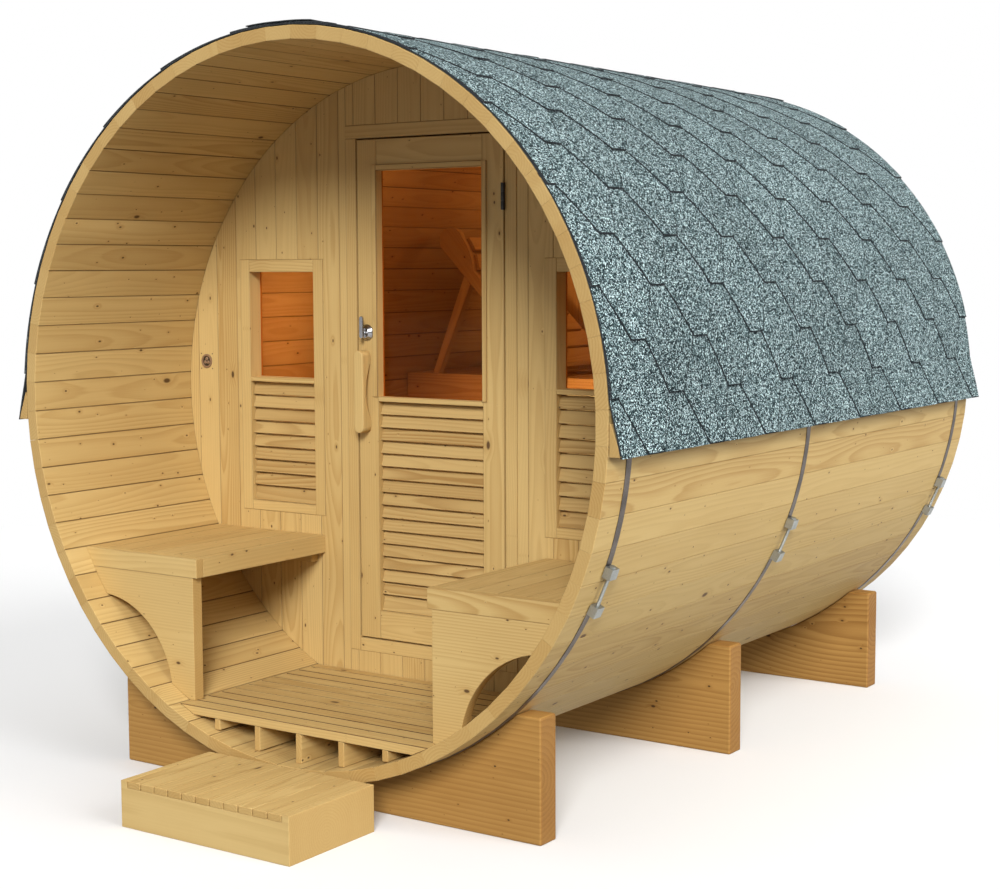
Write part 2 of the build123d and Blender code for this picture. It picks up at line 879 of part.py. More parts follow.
def recliner_rail(y):
    """Sloping side of the reclining back, with a raised round head."""
    half = recliner_rail_width / 2
    tip, crown, shoulder, neck = [recliner_place(*spot) for spot in recliner_head()]
    under = recliner_place(recliner_length(), -half)
    run = recliner_rail_width
    foot_over = recliner_place(-run, half)
    foot_under = recliner_place(-run, -half)
    edges = [ThreePointArc(under, tip, crown), ThreePointArc(crown, shoulder, neck), Line(neck, foot_over),
             Line(foot_over, foot_under), Line(foot_under, under)]
    face = section_plane(y + recliner_rail_thickness) * make_face(edges)
    rail = extrude(face, amount=recliner_rail_thickness, dir=(0, -1, 0))
    y_range = (y - cut_overrun, y + recliner_rail_thickness + cut_overrun)
    below = (inner_bench_top - recliner_rail_width * 2, inner_bench_top + seat_gap)
    return rail - block((-clear_radius, clear_radius), y_range, below)


def recliner_ys():
    """Front faces of the two sloping rails."""
    return (inner_bench_front, inner_bench_front + recliner_depth - recliner_rail_thickness)


def recliner_slat(start, end, y_range):
    """Slat laid over the rails between two spots on their upper edge."""
    span = math.hypot(end[0] - start[0], end[1] - start[1])
    along = ((end[0] - start[0]) / span, (end[1] - start[1]) / span)
    over = (-along[1], along[0])
    top = recliner_slat_rise
    low = recliner_slat_rise - inner_slat_thickness
    corners = [(start[0] + along[0] * reach + over[0] * rise, start[1] + along[1] * reach + over[1] * rise)
               for reach, rise in ((0, top), (span - inner_slat_gap, top), (span - inner_slat_gap, low), (0, low))]
    return prism_along_y([recliner_place(*corner) for corner in corners], y_range)


def recliner_slats():
    """Slats between the two sloping rails, up their straight run and over their heads."""
    near, far = recliner_ys()
    y_range = (near + recliner_rail_thickness + seat_gap, far - seat_gap)
    pitch = inner_slat_width + inner_slat_gap
    _, crown, shoulder, neck = recliner_head()
    count = int((neck[0] + recliner_slat_drop) / pitch)
    spots = [(neck[0] - number * pitch, neck[1]) for number in range(count + 1)]
    spots = list(reversed(spots)) + [shoulder, crown]
    return [recliner_slat(start, end, y_range) for start, end in zip(spots, spots[1:])]


def recliner_prop(y):
    """Strut from the bench up to the underside of a sloping rail."""
    low = inner_bench_top + seat_gap
    angle = math.radians(recliner_angle)
    foot_under = recliner_place(0, -recliner_rail_width / 2)

    def under_rail(x):
        return foot_under[1] + (foot_under[0] - x) * math.tan(angle) - seat_gap * 2

    half = prop_width / 2
    foot_x = prop_stave_room - half_width(inner_bench_top)
    head_x = foot_x + prop_reach
    outline = [(foot_x - half, low), (foot_x + half, low),
               (head_x + half, under_rail(head_x + half)), (head_x - half, under_rail(head_x - half))]
    return prism_along_y(outline, (y, y + recliner_rail_thickness))


# Nodes

def both(maker):
    """Pieces of a paired part, left then right."""
    pieces = []
    for side in (-1, 1):
        made = maker(side)
        pieces += made if isinstance(made, list) else [made]
    return pieces


stave_group_names = ("bottom", "lower_right", "right", "upper_right", "top", "upper_left", "left", "lower_left")

nodes = {
    "staves_" + name: stave_group(group, len(stave_group_names))
    for group, name in enumerate(stave_group_names)
}
nodes.update({
    "shingles_left": roof_courses(-1),
    "shingles_right": roof_courses(1),
    "shingle_ridge": both(ridge_cap),
    "eave_battens": both(eave_batten),
    "straps": [strap(y) for y in strap_places],
    "strap_tensioners": [tensioner(y) for y in strap_places],
    "cradle_front": [cradle(cradle_places[0])],
    "cradle_middle": [cradle(cradle_places[1])],
    "cradle_rear": [cradle(cradle_places[2])],
    "front_wall_left": front_wall_side(-1),
    "front_wall_right": front_wall_side(1),
    "front_wall_over_door": front_wall_middle((casing_top + seat_gap, axis_z + clear_radius)),
    "front_wall_under_door": front_wall_middle((axis_z - clear_radius, sill_bottom - seat_gap)),
    "rear_wall": rear_wall(),
    "door_casing": door_casing(),
    "door_sill": [door_sill()],
    "door_stops": door_stops(),
    "casing_hinge_leaves": [casing_hinge_leaf(z) for z in hinge_levels()],
    "window_frames": both(window_frame),
    "window_glass": both(window_glass),
    "window_louvres": both(window_louvres),
    "bench_seats": both(bench_seat),
    "bench_rails": both(bench_rails),
    "bench_panels": both(bench_panel),
    "bench_ledgers": both(bench_ledger),
    "porch_floor": floor_boards(porch_floor_range),
    "cabin_floor": floor_boards(cabin_floor_range),
    "floor_joists": floor_joists(porch_floor_range) + floor_joists(cabin_floor_range),
    "step_frame": [step_frame()],
    "step_slats": step_slats(),
    "inner_bench_rails": inner_bench_rails(),
    "inner_bench_slats": inner_bench_slats(),
    "recliner_rails": [recliner_rail(y) for y in recliner_ys()],
    "recliner_slats": recliner_slats(),
    "recliner_props": [recliner_prop(y) for y in recliner_ys()],
    "door_stiles": door_stiles(),
    "door_rails": door_rails(),
    "door_glass": [door_glass()],
    "door_beads": door_beads(),
    "door_louvres": door_louvres(),
    "door_handle": [door_handle()],
    "door_latch": [door_latch()],
    "door_hinge_leaves": [door_hinge_leaf(z) for z in hinge_levels()],
})

os.makedirs("parts", exist_ok=True)
for node, pieces in nodes.items():
    export_step(Compound(children=pieces), "parts/" + node + ".step")
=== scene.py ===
import math
import random

import bmesh
import bpy
import numpy
from mathutils import Matrix, Vector


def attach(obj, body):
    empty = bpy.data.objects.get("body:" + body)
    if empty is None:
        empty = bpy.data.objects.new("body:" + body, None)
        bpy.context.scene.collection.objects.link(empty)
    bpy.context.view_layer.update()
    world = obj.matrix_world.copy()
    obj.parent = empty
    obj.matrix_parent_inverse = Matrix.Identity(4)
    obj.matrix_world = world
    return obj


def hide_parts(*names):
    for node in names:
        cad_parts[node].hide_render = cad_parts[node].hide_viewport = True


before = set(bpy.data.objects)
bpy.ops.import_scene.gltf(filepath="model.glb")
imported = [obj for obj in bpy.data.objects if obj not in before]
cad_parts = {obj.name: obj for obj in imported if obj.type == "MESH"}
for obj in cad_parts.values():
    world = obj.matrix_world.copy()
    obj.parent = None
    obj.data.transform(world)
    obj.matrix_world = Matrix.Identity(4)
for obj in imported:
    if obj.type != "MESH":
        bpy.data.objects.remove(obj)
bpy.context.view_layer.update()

# Sizes of the barrel, in metres, as in the frame
BARREL_RADIUS = 1.050
BARREL_AXIS_Z = 1.137
FRONT_Y = -1.250
REAR_Y = 1.250

# Shingle roof
UNDERLAY_RADIUS = 1.0518
UNDERLAY_THICKNESS = 0.0022
UNDERLAY_STEPS = 120
UNDERLAY_GAP = 0.0008
SHINGLE_BED_RADIUS = UNDERLAY_RADIUS + UNDERLAY_THICKNESS + UNDERLAY_GAP
SHINGLE_PITCH = 0.330
SHINGLE_TIP = 0.076
SHINGLE_EXPOSURE = 0.1405
SHINGLE_SHEET = 0.0026
SHINGLE_COURSES = 12
EAVE_ARC = -0.071
EAVE_FLARE = 0.0340
FLARE_TOP_ARC = 0.0725
FLARE_POWER = 1.2
SHINGLE_CURL = 0.0016
# Width of the dark line along the tabs' lower edges: partly bare tar, partly painted shadow of the edge
TAR_AND_SHADOW_LINE = 0.0038
RIDGE_CAP_WIDTH = 0.230
RIDGE_CAP_LENGTH = 0.250
RIDGE_CAP_SHOWING = 0.165
RIDGE_CAP_TILT = 0.0026
RIDGE_HEIGHT = 0.0022
RIDGE_LAP_HEIGHT = 0.0044
RIGHT_SEED = 7
LEFT_SEED = 19
RIDGE_SEED = 3

# Lay of the sheets before they are wrapped: each course lies on a shelf of its own
SHELF = 4.0
WELD = 0.0001
LEAST_HEIGHT = 0.0002

# Straps
STRAP_RADIUS = 1.0503
STRAP_THICKNESS = 0.0012
STRAP_WIDTH = 0.025
STRAP_PLACES = (-1.145, -0.085, 1.145)
STRAP_ENDS = (-20.8, -26.8)
STRAP_STEPS = 144

# Tongues in the joints between the staves
TONGUE_RADIUS = 1.030
TONGUE_THICKNESS = 0.002
TONGUE_INSET = 0.006
TONGUE_STEPS = 144

# Strap ties: the thread on each rod, and a nut at each end
TIE_RADIUS = 1.0622
TIE_ANGLE = -23.8
TIE_ROD_RADIUS = 0.0044
TIE_ROD_LENGTH = 0.137
TIE_THREAD_LENGTH = 0.082
TIE_THREAD_PITCH = 0.0026
TIE_THREAD_DEPTH = 0.0007
TIE_NUT_RADIUS = 0.0085
TIE_NUT_HEIGHT = 0.0070

# Cable port on the front wall
PORT_PLACE = (-0.934, -0.568, 1.219)
PORT_RADIUS = 0.024
PORT_HOLE_RADIUS = 0.0165
PORT_DEPTH = 0.0035
PORT_LIP = PORT_DEPTH * 0.35
PORT_SIDES = 32
PORT_PLUG_RADIUS = 0.0062
PORT_PLUG_REACH = PORT_PLUG_RADIUS * 1.25
PORT_PLUG_SIDES = 16
PORT_PIN_RADIUS = 0.0021
PORT_PIN_REACH = 0.025 * math.sqrt(2)
PORT_PIN_SIDES = 10

# Eased edges
STAVE_EASE = 0.0020
BOARD_EASE = 0.0018
SLAT_EASE = 0.0012
CRADLE_EASE = 0.005
HANDLE_EASE = 0.0045
FITTING_EASE = 0.003
LATCH_EASE = 0.0015
LEAF_EASE = 0.0004
MERGE = 0.00002
FLAT_ANGLE = math.radians(0.6)
EASE_ANGLE = math.radians(32)
EASE_SEGMENTS = 2
HARD_ANGLE = 0.5

# Painted groove shade: how dark the eased long edges of boards are painted, as a share of the knots' brown,
# standing for the shade in the grooves between boards
STAVE_GROOVE_SHADE = 0.65
OUTER_GROOVE_SHADE = 0.20
LOUVRE_GROOVE_SHADE = 0.85
WALL_GROOVE_SHADE = 0.30
FLOOR_GROOVE_SHADE = 0.80
BOARD_GROOVE_SHADE = 0.25
GROOVE_SHADE_SPREAD = (0.55, 1.25)

# Where a board lay in the log, and how its ends, narrow sides, long edges and radial edges are told apart
LOG_ALONG = (0, 40)
LOG_ACROSS = (-0.045, 0.045)
LOG_DEPTH = (0.022, 0.075)
END_FACING = 0.7
SIDE_FACING = 0.7
EDGE_FACING = 0.3
RADIAL_FACING = 0.9

# Figure of the wood. Knots: spacing along and across, share left out, least and greatest reach
PIN_KNOTS = ((0.115, 0.072), 0.15, (0.012, 0.055))
LARGE_KNOTS = ((0.40, 0.20), 0.45, (0.018, 0.050))
PIN_HALO = 0.5
KNOT_PUSH = 0.008
RING_WOBBLE = 0.006
WOBBLE_STRETCH = (2.5, 30.0, 30.0)
STREAK_STRETCH = (5.0, 260.0, 260.0)
LATE_RISE = (0.25, 0.86)
LATE_FALL = (1.0, 0.9)
END_RINGS = 0.55
STREAK_SHARE = 0.28
CLOUD_SHARE = 0.45
END_SHARE = 0.42
HALO_SHARE = 0.30
KNOT_SHARE = 0.92
WOOD_RELIEF = (0.0005, 0.3)

# Grit of the shingles: place and colour of each tone
GRIT_SCALE = 350.0
GRIT_ENDS = ((0.0, (0.003, 0.007, 0.009, 1)), (0.93, (0.72, 0.90, 0.91, 1)))
GRIT_TONES = ((0.48, (0.014, 0.030, 0.034, 1)), (0.62, (0.062, 0.108, 0.116, 1)),
              (0.78, (0.27, 0.375, 0.385, 1)))
# Colour of that dark edge line: bare tar and painted shadow
TAR_AND_SHADOW_COLOUR = (0.008, 0.011, 0.013, 1)

# Camera and light
CAMERA_PLACE = (3.3243, -5.0448, 1.5355)
CAMERA_YAW = -0.6001
CAMERA_PITCH = -0.0985
CAMERA_ROLL = -0.0035
CAMERA_LENS = 65.19
FLOOR_FADE = (2.6, 5.5)
SKY_STRENGTH = 0.29
KEY_STRENGTH = 3.3
KEY_SPREAD = math.radians(20)
KEY_FROM = (0.455, -0.735, 0.505)
TOP_STRENGTH = 0.5
TOP_SPREAD = math.radians(60)
TOP_FROM = (0.0, 0.0, 1.0)
FILL_STRENGTH = 1.85
FILL_SPREAD = math.radians(40)
FILL_FROM = (0.906, 0.0, 0.423)
LAMPS = (((-0.36, -0.16, 1.74), 3.2), ((-0.40, 1.06, 1.84), 2.6), ((0.52, -0.28, 1.86), 1.4))
LAMP_SIZE = 0.10
WASHES = (((-0.44, -0.15, 1.30), (-1.0, 0.0, 0.05), 0.58),
          ((0.05, -0.36, 1.00), (-0.10, 1.0, -0.12), 3.4))
WASH_SIZE = 0.24
WASH_SPREAD = math.radians(84)
LAMP_COLOUR = (1.0, 0.93, 0.82)
FLOOR_REACH = 40.0


# Node helpers

def plug(tree, node, sockets):
    """Each given socket of a node set to a value, or joined to another socket."""
    for name, value in dict(sockets).items():
        if isinstance(value, bpy.types.NodeSocket):
            tree.links.new(value, node.inputs[name])
        else:
            node.inputs[name].default_value = value


def put(tree, kind, sockets=(), **settings):
    """Node of a kind with its settings and its sockets."""
    node = tree.nodes.new(kind)
    for name, value in settings.items():
        setattr(node, name, value)
    plug(tree, node, sockets)
    return node


def get(tree, kind, sockets=(), **settings):
    """First output of a new node."""
    return put(tree, kind, sockets, **settings).outputs[0]


def calc(tree, operation, *values):
    """One sum on numbers, as a socket."""
    return get(tree, "ShaderNodeMath", dict(enumerate(values)), operation=operation)


def times(tree, one, other):
    """Product of two numbers."""
    return calc(tree, "MULTIPLY", one, other)


def plus(tree, one, other):
    """Sum of two numbers."""
    return calc(tree, "ADD", one, other)


def minus(tree, one, other):
    """First number less the second."""
    return calc(tree, "SUBTRACT", one, other)


def held(tree, value, low, high):
    """Number kept between two others."""
    return calc(tree, "MINIMUM", calc(tree, "MAXIMUM", value, low), high)


def ramp(tree, value, low, high, start=0.0, end=1.0):
    """Number carried from one range to another, held at its ends."""
    sockets = {"Value": value, "From Min": low, "From Max": high, "To Min": start, "To Max": end}
    return put(tree, "ShaderNodeMapRange", sockets).outputs["Result"]


def blend(tree, share, one, other, blend_type="MIX"):
    """Mix of two colours."""
    node = put(tree, "ShaderNodeMix", {0: share, 6: one, 7: other}, data_type="RGBA", blend_type=blend_type)
    return node.outputs[2]


def vector(tree, x, y, z):
    """Three numbers as one vector."""
    return get(tree, "ShaderNodeCombineXYZ", {0: x, 1: y, 2: z})


def stretch(tree, place, shares):
    """Place drawn out or pressed together along each axis."""
    return get(tree, "ShaderNodeVectorMath", {0: place, 1: shares}, operation="MULTIPLY")


def noise(tree, place, scale, detail=2.0, roughness=0.5):
    """Cloudy noise between 0 and 1."""
    sockets = {"Vector": place, "Scale": scale, "Detail": detail, "Roughness": roughness}
    return get(tree, "ShaderNodeTexNoise", sockets)


def bump(tree, height, depth, strength):
    """Normal of a finely uneven surface."""
    sockets = {"Height": height, "Distance": depth, "Strength": strength}
    return put(tree, "ShaderNodeBump", sockets).outputs["Normal"]


def place_of(tree):
    """Place on a piece."""
    return put(tree, "ShaderNodeTexCoord").outputs["Object"]


def marked(tree, name):
    """Number that a mesh carries under a name."""
    return put(tree, "ShaderNodeAttribute", attribute_name=name).outputs["Fac"]


def new_material(name):
    """Material with its tree and its one shader."""
    material = bpy.data.materials.new(name)
    material.use_nodes = True
    tree = material.node_tree
    return material, tree, tree.nodes["Principled BSDF"]


# Finishes

def knots(tree, along, across, spacing, missing, reaches):
    """Dark hearts of knots scattered over the boards, and the rounds that bend the grain about them."""
    place = vector(tree, calc(tree, "DIVIDE", along, spacing[0]), calc(tree, "DIVIDE", across, spacing[1]), 0.0)
    cells = put(tree, "ShaderNodeTexVoronoi", {"Vector": place, "Scale": 1.0, "Randomness": 0.95},
                voronoi_dimensions="2D")
    chance, size, _ = put(tree, "ShaderNodeSeparateColor", {0: cells.outputs["Color"]}).outputs
    present = calc(tree, "GREATER_THAN", chance, missing)
    reach = ramp(tree, calc(tree, "POWER", size, 2.5), 0.0, 1.0, *reaches)
    away = cells.outputs["Distance"]
    heart = ramp(tree, away, reach, times(tree, reach, 0.55))
    around = ramp(tree, away, times(tree, reach, 3.2), reach)
    return times(tree, heart, present), times(tree, around, present)


def softwood(name, pale, deep, knot, ring_share, tone_share, ring_width, sway_reach):
    """Planed softwood cut from a log: rings, streaks and knots follow each board's own grain."""
    material, tree, shader = new_material(name)
    grain = put(tree, "ShaderNodeAttribute", attribute_name="grain").outputs["Vector"]
    board, end, groove_shade, narrow = (marked(tree, mark) for mark in ("board", "end_grain", "groove_shade", "narrow_side"))
    along, across, deep_in = put(tree, "ShaderNodeSeparateXYZ", {0: grain}).outputs

    pins, pins_round = knots(tree, along, across, *PIN_KNOTS)
    large, large_round = knots(tree, along, across, *LARGE_KNOTS)
    knot_core = times(tree, calc(tree, "MAXIMUM", pins, large), minus(tree, 1.0, narrow))
    knot_halo = calc(tree, "MAXIMUM", times(tree, pins_round, PIN_HALO), large_round)

    slow = vector(tree, times(tree, along, 1.1), times(tree, across, 3.0), board)
    sway = times(tree, minus(tree, noise(tree, slow, 1.0, 1.0), 0.5), sway_reach)
    depth = plus(tree, deep_in, sway)
    squares = plus(tree, calc(tree, "POWER", across, 2.0), calc(tree, "POWER", depth, 2.0))
    radius = calc(tree, "SQRT", squares)
    fine = stretch(tree, grain, WOBBLE_STRETCH)
    wobble = times(tree, noise(tree, fine, 1.0, 2.0), RING_WOBBLE)
    pushed = plus(tree, radius, plus(tree, wobble, times(tree, knot_halo, KNOT_PUSH)))
    year = calc(tree, "FRACT", calc(tree, "DIVIDE", pushed, ring_width))
    late = times(tree, ramp(tree, year, *LATE_RISE), ramp(tree, year, *LATE_FALL))
    streak = noise(tree, stretch(tree, grain, STREAK_STRETCH), 1.0, 3.0, 0.6)
    cloud = noise(tree, slow, 2.3, 3.0)

    figured = calc(tree, "POWER", calc(tree, "FRACT", times(tree, board, 7.31)), 2.0)
    rings = times(tree, late, ramp(tree, figured, 0.0, 1.0, ring_share * 0.55, ring_share * 1.7))
    rings = times(tree, rings, ramp(tree, end, 0.0, 1.0, 1.0, END_RINGS))
    share = plus(tree, rings, times(tree, streak, STREAK_SHARE))
    share = plus(tree, share, times(tree, minus(tree, cloud, 0.5), CLOUD_SHARE))
    share = plus(tree, share, times(tree, minus(tree, board, 0.5), tone_share))
    share = plus(tree, share, times(tree, end, END_SHARE))
    share = get(tree, "ShaderNodeClamp", {0: share})
    colour = blend(tree, share, (*pale, 1), (*deep, 1))
    colour = blend(tree, times(tree, knot_halo, HALO_SHARE), colour, (*deep, 1))
    colour = blend(tree, times(tree, knot_core, KNOT_SHARE), colour, (*knot, 1))
    # Painted shade in the grooves: the eased long edges blend toward the knots' brown
    colour = blend(tree, groove_shade, colour, (*knot, 1))
    plug(tree, shader, {"Base Color": colour, "Normal": bump(tree, streak, *WOOD_RELIEF),
                        "Roughness": ramp(tree, streak, 0.2, 0.8, 0.52, 0.68), "Specular IOR Level": 0.28})
    return material


def plain_wood(name, pale, deep):
    """Sawn softwood that hardly shows, with streaks along the barrel."""
    material, tree, shader = new_material(name)
    streak = noise(tree, stretch(tree, place_of(tree), (90.0, 3.0, 90.0)), 1.0, 3.0)
    plug(tree, shader, {"Base Color": blend(tree, streak, (*pale, 1), (*deep, 1)),
                        "Normal": bump(tree, streak, *WOOD_RELIEF), "Roughness": 0.75})
    return material


def granules():
    """Face of a roof shingle: pressed grit of pale, middle and dark grains, with a dark line along each tab's
    lower cut edges, partly bare tar and partly painted shadow of the edge.
    """
    material, tree, shader = new_material("shingle_grit")
    place = place_of(tree)
    tab, side, up_tab = (marked(tree, mark) for mark in ("board", "tab_side", "up_tab"))
    grit = put(tree, "ShaderNodeTexVoronoi", {"Vector": place, "Scale": GRIT_SCALE, "Randomness": 1.0})
    grains = get(tree, "ShaderNodeSeparateColor", {0: grit.outputs["Color"]})
    stops = put(tree, "ShaderNodeValToRGB", {0: grains})
    tones = stops.color_ramp.elements
    for tone, (spot, tint) in zip(tones, GRIT_ENDS):
        tone.position = spot
        tone.color = tint
    for spot, tint in GRIT_TONES:
        tones.new(spot).color = tint
    patch = noise(tree, place, 3.0, 3.0)
    tone = plus(tree, ramp(tree, patch, 0.3, 0.7, 0.80, 0.95), ramp(tree, tab, 0.0, 1.0, -0.07, 0.07))
    colour = blend(tree, 1.0, stops.outputs[0], vector(tree, tone, tone, tone), "MULTIPLY")

    # Dark line along the tab's lower edges: partly bare tar, partly painted shadow under the edge
    slope = calc(tree, "DIVIDE", up_tab, SHINGLE_EXPOSURE)
    half = ramp(tree, slope, 0.0, 1.0, SHINGLE_TIP / 2, (SHINGLE_PITCH - SHINGLE_TIP) / 2)
    from_side = times(tree, minus(tree, 1.0, calc(tree, "ABSOLUTE", side)), half)
    on_tab = calc(tree, "LESS_THAN", slope, 0.999)
    nearest = calc(tree, "MINIMUM", from_side, up_tab)
    tar_and_shadow = times(tree, ramp(tree, nearest, TAR_AND_SHADOW_LINE, TAR_AND_SHADOW_LINE * 0.8), on_tab)
    plug(tree, shader, {"Base Color": blend(tree, tar_and_shadow, colour, TAR_AND_SHADOW_COLOUR),
                        "Normal": bump(tree, grains, 0.0010, 0.25),
                        "Roughness": ramp(tree, grains, 0.0, 1.0, 0.95, 0.75), "Specular IOR Level": 0.15})
    return material


def bitumen():
    """Cut edge of a shingle: dark felt and bitumen."""
    material, tree, shader = new_material("bitumen_edge")
    crumbs = noise(tree, place_of(tree), 300.0, 3.0)
    colour = blend(tree, ramp(tree, crumbs, 0.35, 0.75), (0.008, 0.010, 0.012, 1), (0.040, 0.046, 0.052, 1))
    plug(tree, shader, {"Base Color": colour, "Normal": bump(tree, crumbs, 0.0008, 0.5), "Roughness": 0.85})
    return material


def metal(name, light, dark, rough_low, rough_high, scratch_scale):
    """Metal with fine scratches and dull patches."""
    material, tree, shader = new_material(name)
    place = place_of(tree)
    patches = noise(tree, place, 14.0, 4.0)
    scratches = noise(tree, place, scratch_scale, 3.0)
    mixed = plus(tree, times(tree, patches, 0.7), times(tree, scratches, 0.3))
    plug(tree, shader, {"Base Color": blend(tree, ramp(tree, mixed, 0.3, 0.7), (*dark, 1), (*light, 1)),
                        "Roughness": ramp(tree, mixed, 0.3, 0.7, rough_high, rough_low),
                        "Normal": bump(tree, scratches, 0.0002, 0.25), "Metallic": 1.0})
    return material


def black_iron():
    """Dull black coating on the hinges."""
    material, tree, shader = new_material("black_hinge_coat")
    worn = noise(tree, place_of(tree), 120.0, 4.0)
    colour = blend(tree, ramp(tree, worn, 0.55, 0.8), (0.012, 0.012, 0.012, 1), (0.06, 0.058, 0.055, 1))
    plug(tree, shader, {"Base Color": colour, "Roughness": ramp(tree, worn, 0.3, 0.8, 0.42, 0.6),
                        "Specular IOR Level": 0.45})
    return material


def plain_plastic(name, dark, light):
    """Moulded plastic with a faint mottle."""
    material, tree, shader = new_material(name)
    mottle = noise(tree, place_of(tree), 260.0, 3.0)
    plug(tree, shader, {"Base Color": blend(tree, mottle, (*dark, 1), (*light, 1)),
                        "Roughness": ramp(tree, mottle, 0.3, 0.7, 0.38, 0.55),
                        "Normal": bump(tree, mottle, 0.0002, 0.2)})
    return material


def bronze_pane():
    """Bronze tinted pane: tinted light passes through, and the surface mirrors a little."""
    material, tree, shader = new_material("bronze_pane")
    tree.nodes.remove(shader)
    haze = noise(tree, place_of(tree), 9.0, 3.0)
    tint = blend(tree, ramp(tree, haze, 0.3, 0.7), (0.925, 0.665, 0.455, 1), (0.910, 0.640, 0.430, 1))
    clear = get(tree, "ShaderNodeBsdfTransparent", {"Color": tint})
    gloss = get(tree, "ShaderNodeBsdfGlossy", {"Color": (0.9, 0.9, 0.9, 1), "Roughness": 0.03})
    facing = get(tree, "ShaderNodeFresnel", {"IOR": 1.12})
    mixed = get(tree, "ShaderNodeMixShader", {0: facing, 1: clear, 2: gloss})
    tree.links.new(mixed, tree.nodes["Material Output"].inputs["Surface"])
    return material


def studio_floor():
    """Pale matt floor that runs out to white far from the cabin."""
    material, tree, shader = new_material("studio_floor")
    place = place_of(tree)
    mottle = noise(tree, place, 0.8, 2.0)
    plug(tree, shader, {"Base Color": blend(tree, mottle, (0.87, 0.87, 0.87, 1), (0.89, 0.89, 0.89, 1)),
                        "Roughness": 0.9, "Specular IOR Level": 0.1})
    reach = put(tree, "ShaderNodeVectorMath", {0: place}, operation="LENGTH").outputs["Value"]
    white = get(tree, "ShaderNodeEmission", {"Color": (1, 1, 1, 1), "Strength": 1.0})
    fade = ramp(tree, reach, *FLOOR_FADE)
    mixed = get(tree, "ShaderNodeMixShader", {0: fade, 1: shader.outputs[0], 2: white})
    tree.links.new(mixed, tree.nodes["Material Output"].inputs["Surface"])
    return material


PALE_PINE = softwood("pale_pine_boards", (0.605, 0.425, 0.170), (0.410, 0.238, 0.070), (0.075, 0.031, 0.010),
                     0.34, 0.30, 0.0085, 0.085)
# Louvre slats: a darker copy of the pale pine with bolder figure; the darkening is painted shade for the shadow
# each slat casts on the next
SHADED_LOUVRE_PINE = softwood("louvre_pine_painted_shade", (0.520, 0.352, 0.136), (0.325, 0.180, 0.052), (0.065, 0.027, 0.009),
                       0.46, 0.42, 0.0085, 0.085)
CRADLE_PINE = softwood("cradle_pine_board", (0.450, 0.245, 0.065), (0.220, 0.090, 0.015), (0.060, 0.022, 0.006),
                       0.34, 0.24, 0.0160, 0.26)
# Tongues: their dark brown is painted shade of the deep joints between the staves, not the wood's own tone
SHADED_TONGUE_PINE = plain_wood("tongue_pine_painted_shade", (0.20, 0.115, 0.045), (0.13, 0.070, 0.026))
GRANULES = granules()
BITUMEN = bitumen()
STRAP_STEEL = metal("strap_steel_band", (0.20, 0.172, 0.152), (0.090, 0.078, 0.070), 0.36, 0.55, 260.0)
ZINC = metal("zinc_plate", (0.47, 0.485, 0.47), (0.29, 0.305, 0.295), 0.40, 0.60, 320.0)
BRIGHT = metal("bright_latch_plate", (0.46, 0.46, 0.47), (0.30, 0.30, 0.31), 0.14, 0.28, 420.0)
BLACK_IRON = black_iron()
PORT_COLLAR = plain_plastic("port_collar_plastic", (0.20, 0.11, 0.055), (0.32, 0.20, 0.11))
PORT_DARK = plain_plastic("port_dark_plastic", (0.020, 0.013, 0.008), (0.045, 0.028, 0.016))
BRONZE_PANE = bronze_pane()


# Pieces

def add_piece(name, mesh, body, nodes, material=None):
    """Mesh as a piece that rides on a body and stands for CAD nodes, or for none, with the material it is
    given.
    """
    piece = bpy.data.objects.new(name, mesh)
    bpy.context.scene.collection.objects.link(piece)
    if material:
        mesh.materials.clear()
        mesh.materials.append(material)
    if nodes:
        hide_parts(*nodes)
    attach(piece, body)


def islands(shape):
    """Vertices of each separate solid in a mesh, in the same order each run."""
    left = dict.fromkeys(shape.verts)
    groups = []
    while left:
        front = [left.popitem()[0]]
        group = []
        while front:
            corner = front.pop()
            group.append(corner)
            for edge in corner.link_edges:
                other = edge.other_vert(corner)
                if other in left:
                    del left[other]
                    front.append(other)
        groups.append(group)
    return sorted(groups, key=lambda group: tuple(min(group, key=lambda v: tuple(v.co)).co))


def board_axes(corners, level):
    """Middle of a board and its directions along, across and through."""
    points = numpy.array([corner.co for corner in corners])
    middle = points.mean(0)
    if level:
        return Vector(middle), [Vector((1, 0, 0)), Vector((0, 0, 1)), Vector((0, 1, 0))]
    values, axes = numpy.linalg.eigh(numpy.cov((points - middle).T))
    order = numpy.argsort(values)[::-1]
    return Vector(middle), [Vector(axes[:, place]) for place in order]


